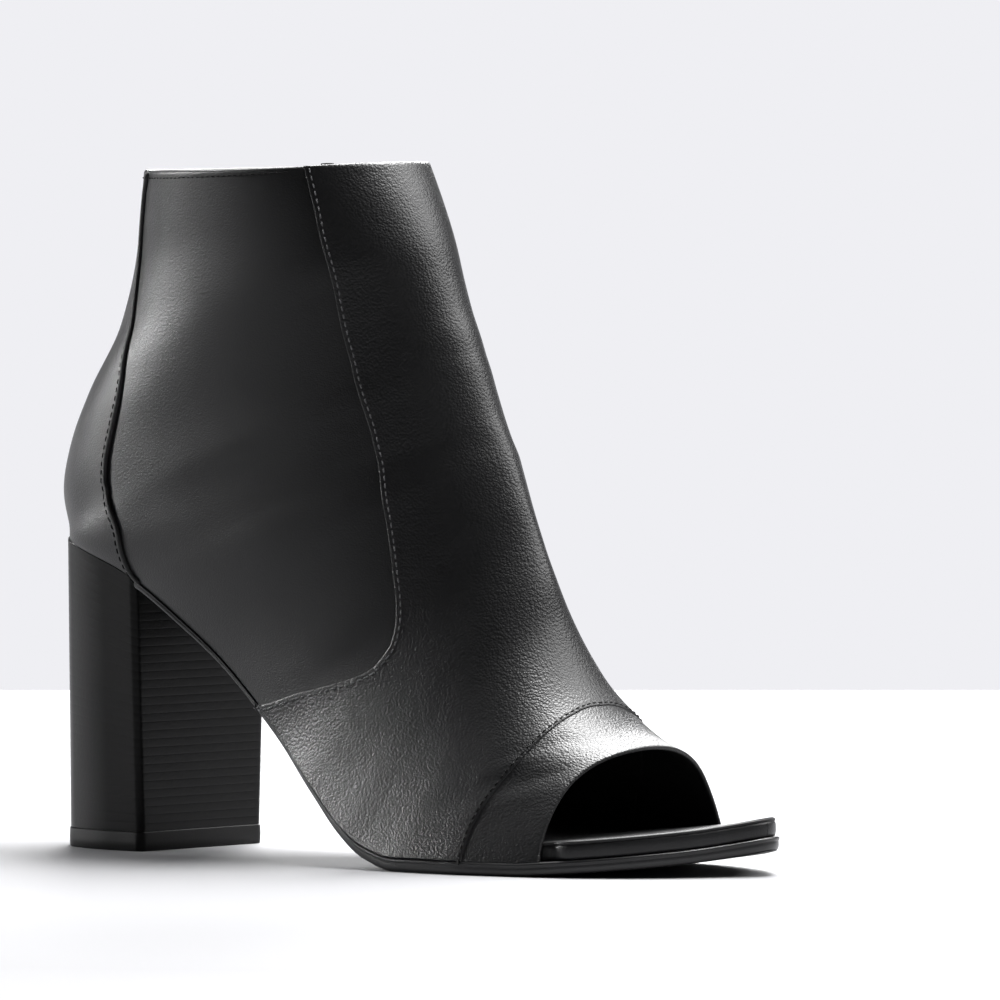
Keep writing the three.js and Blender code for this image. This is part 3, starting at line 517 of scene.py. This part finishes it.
# Over the heel seat the leather is drawn smooth: there, clear of the zip, each point moves
# most of the way to the mean of its four neighbours, and this is done again and again.
# The grid's first and last column are both the back line, so they stay together.
SOFT_PASSES, SOFT_SHARE = 20, 0.8
column = np.linspace(-1, 1, face.shape[1])[None, :]
beside_back = ease(column, 0.35, 0.6) + ease(-column, 0.66, 0.84)
soft = (ease(row, 48, 64) * ease(-row, -92, -74) * beside_back)[:, :, None]
back_line = slice(1, SHAFT_ROWS)
for _ in range(SOFT_PASSES):
    around = (face[:-2, 1:-1] + face[2:, 1:-1] + face[1:-1, :-2] + face[1:-1, 2:]) / 4
    face[1:-1, 1:-1] += (around - face[1:-1, 1:-1]) * soft[1:-1, 1:-1] * SOFT_SHARE
    above, below = face[: SHAFT_ROWS - 1, 0], face[2 : SHAFT_ROWS + 1, 0]
    around = (above + below + face[back_line, 1] + face[back_line, -2]) / 4
    face[back_line, 0] += (around - face[back_line, 0]) * soft[back_line, 0] * SOFT_SHARE
    face[back_line, -1] = face[back_line, 0]
kept = np.ones((face.shape[0] - 1, face.shape[1] - 1), dtype=bool)
kept[:, :HALF_COLUMNS] = ~open_cell
panel("quarters", face, WALL, [satin_calf, lining_skin], kept, replaces=["upper"])
row = np.linspace(0, 1, 27)[:, None]
share = np.linspace(0, 1, 120)[None, :]
stations = [band_station(share) * (1 - row) + opening_station(share, side_) * row for side_ in (1, -1)]
face = both_sides(stations, [share + 0 * row] * 2)
panel("toe_band", face, BAND_WALL, [pebbled_calf, lining_skin], fold=0.48)

# Vamp. One piece from the collar's front to the toe, lapped over the quarters and the toe
# band by its folded edge, so it stands 0.9 mm proud of the quarters and 0.35 mm of the
# band. Its grid starts with rows beside the collar and rear edge, and is then ruled to
# the front edge, both from the ridge to the sole. Where it crowds at the rear edge's
# corner it is relaxed.
VAMP_PROUD, TOE_PROUD, VAMP_THICK, FOLD = 0.9, 0.35, 1.3, 0.45
CORNER_START, CORNER_END, CORNER_PASSES, RELAX_PASSES, RELAX_SHARE = 8, 40, 4, 40, 0.8
BESIDE = np.array([0, 0.08, 0.2, 0.36, 0.6, 0.9, 1.4, 2.1, 3])
COLLAR_COLUMNS, SEAM_COLUMNS = 18, 104


def step_aside(q, s, side):
    """Change of station and s that moves a path sideways on the last by a millimetre. The
    directions are averaged over a few points, so they turn softly at a corner."""
    points = last_point(q, s, side)
    heading = np.gradient(points, axis=0)
    weights = np.hanning(33) / np.hanning(33).sum()
    padded = np.pad(heading, ((16, 16), (0, 0)), mode="edge")
    heading = np.stack([np.convolve(padded[:, c], weights, "valid") for c in range(3)], 1)
    aside = np.cross(outward(q, s, side), heading)
    aside /= np.linalg.norm(aside, axis=1, keepdims=True)
    along_q = (last_point(q + 0.4, s, side) - last_point(q - 0.4, s, side)) / 0.8
    low, high = np.maximum(s - 0.004, 0), np.minimum(s + 0.004, 1)
    along_s = (last_point(q, high, side) - last_point(q, low, side)) / (high - low)[:, None]
    a, b, c = (np.sum(u * v, 1) for u, v in ((along_q, along_q), (along_q, along_s), (along_s, along_s)))
    d, e = np.sum(along_q * aside, 1), np.sum(along_s * aside, 1)
    det = a * c - b * b
    shift_s = (a * e - b * d) / det * ease(s, 0.01, 0.2) * ease(-s, -1, -0.97)
    return (d - b * shift_s) / a, shift_s


rear_q, rear_s = smooth_path(VAMP_REAR, SEAM_COLUMNS)
rear_q = np.concatenate([np.full(COLLAR_COLUMNS, VAMP_REAR[0][0]), rear_q])
rear_s = np.concatenate([np.linspace(1, VAMP_REAR[0][1], COLLAR_COLUMNS + 1)[:-1], rear_s])
front_q, front_s = smooth_path(VAMP_FRONT[::-1], 400)
front_share = np.linspace(0, 1, len(rear_q)) ** 1.9
front_q = np.interp(front_share, np.linspace(0, 1, 400), front_q)
front_s = np.interp(front_share, np.linspace(0, 1, 400), front_s)
turn_q, turn_s = step_aside(rear_q, rear_s, -1)
corner = slice(CORNER_START, CORNER_END)
for _ in range(CORNER_PASSES):
    for shift in (turn_q, turn_s):
        before, after = shift[CORNER_START - 1 : CORNER_END - 1], shift[CORNER_START + 1 : CORNER_END + 1]
        shift[corner] += RELAX_SHARE * ((before + after) / 2 - shift[corner])
beside_q, beside_s = rear_q + turn_q * BESIDE[:, None], rear_s + turn_s * BESIDE[:, None]
start_q, start_s = beside_q[-1], beside_s[-1]
reach = np.linalg.norm(last_point(front_q, front_s, -1) - last_point(start_q, start_s, -1), axis=1) * 1.04
row = np.linspace(0, 1, 118)[1:-1, None] * (1 - BESIDE[-4] / reach)
row = np.concatenate([row, 1 - BESIDE[:-4][::-1, None] / reach])
bend = np.where(front_s > start_s, 1 - (1 - row) ** 3, row**1.5)
q = np.concatenate([beside_q, start_q * (1 - row) + front_q * row])
s = np.concatenate([beside_s, start_s * (1 - bend) + front_s * bend])
soft = ease(-np.arange(q.shape[1]), -64, -44)[1:-1] * RELAX_SHARE
first = len(BESIDE)
for _ in range(RELAX_PASSES):
    for grid in (q, s):
        around = grid[first - 1 : -5, 1:-1] + grid[first + 1 : -3, 1:-1]
        around = around + grid[first:-4, :-2] + grid[first:-4, 2:]
        grid[first:-4, 1:-1] += (around / 4 - grid[first:-4, 1:-1]) * soft
edge = np.concatenate([BESIDE, np.full(len(q) - 2 * len(BESIDE) + 4, FOLD), BESIDE[:-4][::-1]])[:, None]
rounded = FOLD - np.sqrt(FOLD**2 - np.clip(FOLD - edge, 0, None) ** 2)
proud = VAMP_PROUD + (TOE_PROUD - VAMP_PROUD) * ease(np.linspace(0, 1, len(q)), 0.6, 1)[:, None] - rounded
face = both_sides((q[:, ::-1], q[:, ::-1]), (s[:, ::-1], s[:, ::-1]), proud)
panel("vamp", face, VAMP_THICK, [pebbled_calf, lining_skin], fold=0)


def along_seam(table, side, count, lift=0.0, start=0.0, end=1.0, offset=0.0):
    """Points, outward normals and directions along a seam. Offset shifts it sideways on
    the surface, to the left of its direction as seen from outside."""
    q, s = smooth_path(table, 400)
    points = last_point(q, s, side)
    normal = outward(q, s, side)
    heading = np.gradient(points, axis=0)
    heading /= np.linalg.norm(heading, axis=-1, keepdims=True)
    points = points + np.cross(normal, heading) * offset + normal * (relief(points) + lift)[..., None]
    step = np.linalg.norm(np.diff(points, axis=0), axis=-1)
    reach = np.concatenate([[0], np.cumsum(step)])
    t = np.linspace(start, end, count) * reach[-1]

    def pick(values):
        return np.stack([np.interp(t, reach, values[:, c]) for c in range(3)], 1)

    heading = pick(heading)
    normal = pick(normal)
    return pick(points), normal, heading / np.linalg.norm(heading, axis=-1, keepdims=True), reach[-1]


def bead(points, normal, heading, half_width_, height, sides=12):
    """Grid of a closed cord of elliptic section along points, drawn in at both ends."""
    angles = np.linspace(0, 2 * np.pi, sides + 1)
    across = np.cross(normal, heading)
    ends = np.ones(len(points))
    ends[[0, -1]] = 0
    ends[[1, -2]] = 0.7
    ring = (
        across[:, None] * (np.cos(angles) * half_width_)[None, :, None]
        + normal[:, None] * (np.sin(angles) * height)[None, :, None]
    )
    return points[:, None] + ring * ends[:, None, None]


def joined_grids(name, grids, finish):
    """One piece from several closed grids of one size, each with its first column repeated."""
    grids = np.array(grids)
    rows, columns = grids.shape[1:3]
    faces = grid_faces(rows, columns)[None] + (np.arange(len(grids)) * rows * columns)[:, None, None]
    made = mesh_object(
        name, (grids.reshape(-1, 3) + HEEL_BACK) / 1000, faces.reshape(-1, 4), [finish], None, 60,
    )
    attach(made, "boot")


# Piping. A matt black cord of skin lies in the seam between quarter and back panel on
# both sides, from the collar down to the heel seat.
piping_skin = hide("matt_piping_skin", 0x0C0C0C, 0.6, 0.5, 0.1, 0.3)
cords = [
    bead(*along_seam(BACK_PANEL, side_, 160, 0.25, 0.002, 0.99)[:3], 0.9, 0.75) for side_ in (-1, 1)
]
joined_grids("back_piping", cords, piping_skin)


# Stitches. Waxed polyester thread, grey with wax on the vamp's edge and black elsewhere,
# about twelve to the inch: each shows as a short rounded length sunk at both ends.
def thread(name, colour, roughness, gloss):
    """Spun thread: diagonal bands for its twist, as fine bump."""
    made, tree, output = material(name)
    place = node(tree, "ShaderNodeTexCoord").outputs["Object"]
    twist = node(
        tree, "ShaderNodeTexWave", {"bands_direction": "DIAGONAL"}, Vector=place, Scale=900.0,
        Distortion=1.0,
    )
    bump = node(tree, "ShaderNodeBump", Strength=0.4, Distance=0.0001, Height=twist.outputs["Fac"])
    shade = node(
        tree, "ShaderNodeBsdfPrincipled", Base_Color=linear(colour), Roughness=roughness,
        Normal=bump.outputs["Normal"],
    )
    shade.inputs["Specular IOR Level"].default_value = gloss
    tree.links.new(shade.outputs[0], output.inputs["Surface"])
    return made


def stitches(table, side, pitch, length, radius, lift, offset, start=0.0, end=1.0):
    """A grid for each stitch: rings of six points along a capsule, lowest at its ends."""
    reach = along_seam(table, side, 2, lift, start, end, offset)[3] * (end - start)
    count = max(int(reach / pitch), 2)
    points, normal, heading, _ = along_seam(table, side, count, lift, start, end, offset)
    share = np.array([-0.5, -0.42, -0.2, 0.2, 0.42, 0.5])
    size = np.array([0, 0.7, 1, 1, 0.7, 0]) * radius
    angles = np.linspace(0, 2 * np.pi, 7)
    middle = points[:, None] + heading[:, None] * (share * length)[:, None]
    middle = middle - normal[:, None] * (radius - size)[:, None]
    across = np.cross(normal, heading)[:, None, None]
    ring = across * np.cos(angles)[:, None] + normal[:, None, None] * np.sin(angles)[:, None]
    return list(middle[:, :, None] + ring * size[None, :, None, None])


waxed_thread = thread("waxed_grey_thread", 0x4A4A4C, 0.5, 0.5)
black_thread = thread("black_thread", 0x0A0A0A, 0.6, 0.12)
VAMP_TOP = VAMP_PROUD + 0.05
joined_grids(
    "vamp_stitches",
    stitches(VAMP_REAR, -1, 2.15, 1.5, 0.22, VAMP_TOP, 1.5, 0.01, 0.995)
    + stitches(VAMP_REAR, 1, 2.15, 1.5, 0.22, VAMP_TOP, -1.5, 0.01, 0.995),
    waxed_thread,
)
joined_grids(
    "toe_band_stitches",
    stitches(VAMP_FRONT, -1, 2.15, 1.5, 0.22, TOE_PROUD + 0.08, 1.0, 0.01, 0.995)
    + stitches(VAMP_FRONT, 1, 2.15, 1.5, 0.22, TOE_PROUD + 0.08, -1.0, 0.01, 0.995),
    black_thread,
)
joined_grids(
    "back_panel_stitches",
    stitches(BACK_PANEL, -1, 2.3, 1.6, 0.2, 0.08, -2.0, 0.02, 0.98)
    + stitches(BACK_PANEL, 1, 2.3, 1.6, 0.2, 0.08, 2.0, 0.02, 0.98),
    black_thread,
)
COLLAR = [(-99.6, s) for s in np.linspace(0, 1, 40)]
joined_grids(
    "collar_stitches",
    stitches(COLLAR, -1, 1.9, 1.35, 0.2, 0.08, 0, 0.0, 0.7)
    + stitches(COLLAR, 1, 1.9, 1.35, 0.2, 0.08, 0, 0.0, 0.7),
    black_thread,
)

# Footbed. A board covered on top with sock leather and wrapped round its edge with the
# upper's skin, which shows at the open toe as a band with a fine line under the sock.
FOOTBED, LIP, LIP_RUN, INSET, END_HALF = 5.2, 0.7, 7.2, 3.6, 14
edge_skin = hide("wrapped_edge_skin", 0x131314, 0.4, 0.6, 0.1, 0.2)
sock_skin = hide("black_sock_leather", 0x131314, 0.5, 0.7, 0.08, 0.2)


def layered(name, outline_at, levels, top_of, bottom_of, finishes, replaces):
    """Closed body from an outline of two halves that share their ends. Each level draws it
    in to its own middle line by a share, pushes it out by a distance, sits at a share of
    the depth from top to bottom, and has a finish for the band above it."""
    grid = []
    for drawn, out, share, _ in levels:
        inner, outer = outline_at(share)
        middle = (inner + outer) / 2
        loop = np.concatenate([inner, outer[::-1][1:-1]])
        middle = np.concatenate([middle, middle[::-1][1:-1]])
        heading = np.roll(loop, -1, 0) - np.roll(loop, 1, 0)
        away = np.stack([heading[:, 1], -heading[:, 0]], 1)
        away /= np.linalg.norm(away, axis=1, keepdims=True)
        away *= np.sign(np.sum(away * (loop - middle)))
        flat = middle + (loop - middle) * (1 - drawn) + away * out
        top, bottom = top_of(flat[:, 0], flat[:, 1]), bottom_of(flat[:, 0], flat[:, 1])
        grid.append(np.concatenate([flat, (top + (bottom - top) * share)[:, None]], 1))
    grid = np.array(grid)
    grid = np.concatenate([grid, grid[:, :1]], 1)
    rows, columns = grid.shape[:2]
    faces = grid_faces(rows, columns)
    turned = np.cross(grid[1, 1] - grid[1, 0], grid[2, 0] - grid[1, 0])[2] < 0
    finish = np.repeat([level[3] for level in levels[1:]], columns - 1)
    if turned:
        faces = faces[:, ::-1]
    made = mesh_object(name, (grid.reshape(-1, 3) + HEEL_BACK) / 1000, faces, finishes, finish, 50)
    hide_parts(replaces)
    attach(made, "boot")


def sole_places(start, end, count):
    """Places along the sole, close together at both ends."""
    return start + (end - start) * (1 - np.cos(np.linspace(0, np.pi, count))) / 2


DRAWN_IN = [1, 0.9, 0.78, 0.64, 0.5, 0.36, 0.23, 0.13, 0.06]
places = sole_places(2 * WALL, LENGTH - LIP, 170)
stretched = (places - places[0]) / (places[-1] - places[0]) * LENGTH
footbed_halves = []
for side_, opening in ((1, OPEN_INNER), (-1, OPEN_OUTER)):
    plain = half_width(stretched, side_)
    inset = INSET + (LIP - INSET) * ease(places, opening, opening + LIP_RUN)
    inset = inset * np.minimum(1, np.abs(plain) / END_HALF)
    footbed_halves.append(np.stack([places, side_ * (plain - inset)], 1))
board = [(drawn, 0, 0, 0) for drawn in DRAWN_IN]
board += [(0, -0.7, 0, 0), (0, -0.25, 0.015, 0), (0, 0.1, 0.06, 0), (0, 0.25, 0.12, 0), (0, 0.2, 0.17, 0)]
board += [(0, -0.05, 0.2, 0), (0, -0.05, 0.21, 1), (0, 0.22, 0.25, 1), (0, 0.36, 0.35, 1), (0, 0.42, 0.55, 1)]
board += [(0, 0.36, 0.8, 1), (0, 0.15, 0.96, 1), (0, -0.2, 1, 1)]
board += [(drawn, 0, 1, 1) for drawn in DRAWN_IN[::-1]]
layered(
    "footbed_board", lambda share: footbed_halves, board, lambda x, y: feather(x, y) + FOOTBED, feather,
    [sock_skin, edge_skin], "footbed",
)

# Outsole. Leather 3.8 mm thick under the forefoot and thinner in the arch, its edge
# trimmed with a fine bead, inked and waxed, and its underside scoured and dyed black.
def waxed(name, colour, roughness, coat, gloss=0.5):
    """Waxed leather edge: fine fibres, and wax that is glossier in some patches."""
    made, tree, output = material(name)
    place = node(tree, "ShaderNodeTexCoord").outputs["Object"]
    fibre = node(tree, "ShaderNodeTexNoise", Vector=place, Scale=900.0, Detail=4.0)
    patch = node(tree, "ShaderNodeTexNoise", Vector=place, Scale=40.0, Detail=3.0)
    bump = node(tree, "ShaderNodeBump", Strength=0.25, Distance=0.0001, Height=fibre.outputs["Fac"])
    tone = node(
        tree, "ShaderNodeMix", {"data_type": "RGBA"}, in0=patch.outputs["Fac"], in6=linear(colour),
        in7=linear(colour + 0x060606),
    )
    rough = node(
        tree, "ShaderNodeMapRange", Value=patch.outputs["Fac"], To_Min=roughness - 0.06,
        To_Max=roughness + 0.1,
    )
    shade = node(
        tree, "ShaderNodeBsdfPrincipled", Base_Color=tone.outputs[2], Roughness=rough.outputs["Result"],
        Normal=bump.outputs["Normal"],
    )
    shade.inputs["Coat Weight"].default_value = coat
    shade.inputs["Coat Roughness"].default_value = 0.25
    shade.inputs["Specular IOR Level"].default_value = gloss
    tree.links.new(shade.outputs[0], output.inputs["Surface"])
    return made


sole_edge = waxed("inked_sole_edge", 0x131314, 0.35, 0.1)
sole_face = waxed("scoured_sole_face", 0x161617, 0.6, 0.0)
GAP, BREAST = 0.3, 40.0
places = sole_places(0, LENGTH, 230)
places = np.concatenate([[BREAST + GAP], places[places > BREAST + 1]])
outsole_halves = []
for side_ in (1, -1):
    edge = np.stack([places, side_ * half_width(places, side_)], 1)
    middle = np.array([[BREAST + GAP, (half_width(BREAST, 1) - half_width(BREAST, -1)) / 2]])
    breast = middle + (edge[0] - middle) * np.array([0, 0.3, 0.6, 0.8, 0.92])[:, None]
    outsole_halves.append(np.concatenate([breast, edge]))
sole = [(drawn, 0, 0, 0) for drawn in DRAWN_IN]
sole += [(0, -0.4, 0, 0), (0, 0, 0.02, 0), (0, 0.3, 0.08, 0), (0, 0.45, 0.16, 0), (0, 0.42, 0.24, 0)]
sole += [(0, 0.2, 0.29, 0), (0, 0.16, 0.33, 0), (0, 0.26, 0.45, 0), (0, 0.26, 0.65, 0), (0, 0.12, 0.85, 0)]
sole += [(0, -0.2, 0.96, 0), (0, -0.7, 1, 0)]
sole += [(drawn, 0, 1, 1) for drawn in DRAWN_IN[::-1]]
layered(
    "leather_outsole", lambda share: outsole_halves, sole, lambda x, y: feather(x, y) - GAP / 2, underside,
    [sole_edge, sole_face], "outsole",
)

# Heel. Lifts of leather glued in a stack, shaped in a D with a flat breast, stained
# black and polished, so that each lift reads as a faint line; a rubber top piece below.
HEEL_TAPER, SWEEP, CORNER, LIFT, LIFT_LIP, LIFTS = 51.0 / 56.4, 1.0, 2.0, 5.5, 0.3, 30
heel_stack = waxed("stained_leather_stack", 0x060606, 0.36, 0.0, 0.16)
rubber, tree, output = material("hard_black_rubber")
place = node(tree, "ShaderNodeTexCoord").outputs["Object"]
speck = node(tree, "ShaderNodeTexNoise", Vector=place, Scale=1500.0, Detail=3.0)
bump = node(tree, "ShaderNodeBump", Strength=0.3, Distance=0.0001, Height=speck.outputs["Fac"])
shade = node(
    tree, "ShaderNodeBsdfPrincipled", Base_Color=linear(0x0D0D0D), Roughness=0.5,
    Normal=bump.outputs["Normal"],
)
shade.inputs["Specular IOR Level"].default_value = 0.25
tree.links.new(shade.outputs[0], output.inputs["Surface"])


def heel_halves(share):
    """Halves of the heel's outline at a share of its depth: the seat's outline narrowed,
    its back swept, its breast straight between round corners."""
    turned = np.linspace(0, np.pi / 2, 90)
    x = BREAST * (1 - np.cos(turned))[::-1]
    x = np.concatenate([BREAST - CORNER * (1 - np.cos(turned[::6])), x[x < BREAST - CORNER]])
    round_off = CORNER - np.sqrt(np.clip(CORNER**2 - np.clip(x - (BREAST - CORNER), 0, None) ** 2, 0, None))
    halves = []
    for side_ in (1, -1):
        half = half_width(x, side_) * (1 + (HEEL_TAPER - 1) * share) - round_off
        edge = np.stack([x - SWEEP * share * (1 - x / BREAST), side_ * half], 1)
        breast = np.stack([np.full(14, BREAST), edge[0, 1] * np.linspace(0, 1, 15)[:-1]], 1)
        halves.append(np.concatenate([breast, edge]))
    return halves


stack = [(drawn, 0, 0, 0) for drawn in DRAWN_IN] + [(0, -0.3, 0, 0)]
for lift_ in np.arange(LIFTS) / LIFTS:
    for part, out in ((0.05, 0.018), (0.15, 0.03), (0.5, 0.034), (0.85, 0.03), (0.95, 0.018), (1, 0.0)):
        stack.append((0, out, lift_ + part / LIFTS, 0))
stack += [(drawn, 0, 1, 0) for drawn in DRAWN_IN[::-1]]
layered(
    "stacked_heel", heel_halves, stack, lambda x, y: feather(x, y) - GAP / 2, lambda x, y: 0 * x + LIFT,
    [heel_stack], "heel_block",
)
top_piece = [(drawn, 0, 0, 0) for drawn in DRAWN_IN]
top_piece += [(0, -0.1, 0, 0), (0, LIFT_LIP, 0.05, 0), (0, LIFT_LIP + 0.1, 0.5, 0)]
top_piece += [(0, LIFT_LIP, 0.95, 0), (0, 0, 1, 0)]
top_piece += [(drawn, 0, 1, 0) for drawn in DRAWN_IN[::-1]]
bottom_halves = heel_halves(1)
layered(
    "rubber_top_piece", lambda share: bottom_halves, top_piece, lambda x, y: 0 * x + LIFT, lambda x, y: 0 * x,
    [rubber], "heel_top_piece",
)

# Zip. A black coil, a turn every 1.6 mm, on woven tape, closed, in the inner side's slot,
# with a nickel slider at the collar whose pull tab hangs free; the nickel is a little worn.
nickel, tree, output = material("bright_nickel_plate")
place = node(tree, "ShaderNodeTexCoord").outputs["Object"]
wear = node(tree, "ShaderNodeTexNoise", Vector=place, Scale=700.0, Detail=3.0)
rough = node(tree, "ShaderNodeMapRange", Value=wear.outputs["Fac"], To_Min=0.18, To_Max=0.32)
shade = node(
    tree, "ShaderNodeBsdfPrincipled", Base_Color=linear(0xA9A8A4), Metallic=1.0,
    Roughness=rough.outputs["Result"],
)
tree.links.new(shade.outputs[0], output.inputs["Surface"])
coil, tree, output = material("black_nylon_coil")
place = node(tree, "ShaderNodeTexCoord").outputs["Object"]
turns = node(tree, "ShaderNodeTexWave", {"bands_direction": "Z"}, Vector=place, Scale=196.0)
# Painted light and shade: the coil's colour is lighter on the crest of each turn and darker between turns, in
# step with its bump.
tone = node(
    tree, "ShaderNodeMix", {"data_type": "RGBA"}, in0=turns.outputs["Fac"], in6=linear(0x050505),
    in7=linear(0x1C1C1E),
)
bump = node(tree, "ShaderNodeBump", Strength=0.4, Distance=0.0002, Height=turns.outputs["Fac"])
shade = node(
    tree, "ShaderNodeBsdfPrincipled", Base_Color=tone.outputs[2], Roughness=0.35,
    Normal=bump.outputs["Normal"],
)
tree.links.new(shade.outputs[0], output.inputs["Surface"])
tape, tree, output = material("woven_polyester_tape")
place = node(tree, "ShaderNodeTexCoord").outputs["Object"]
weave = node(tree, "ShaderNodeTexWave", {"bands_direction": "Z"}, Vector=place, Scale=600.0, Distortion=0.6)
bump = node(tree, "ShaderNodeBump", Strength=0.5, Distance=0.0002, Height=weave.outputs["Fac"])
shade = node(
    tree, "ShaderNodeBsdfPrincipled", Base_Color=linear(0x131313), Roughness=0.85,
    Normal=bump.outputs["Normal"],
)
tree.links.new(shade.outputs[0], output.inputs["Surface"])
for name, finish in (
    ("zip_slider", nickel), ("zip_pull", nickel), ("zip_bottom_stop", nickel),
    ("zip_teeth", coil), ("zip_tape", tape),
):
    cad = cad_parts[name]
    cad.data.materials.clear()
    cad.data.materials.append(finish)
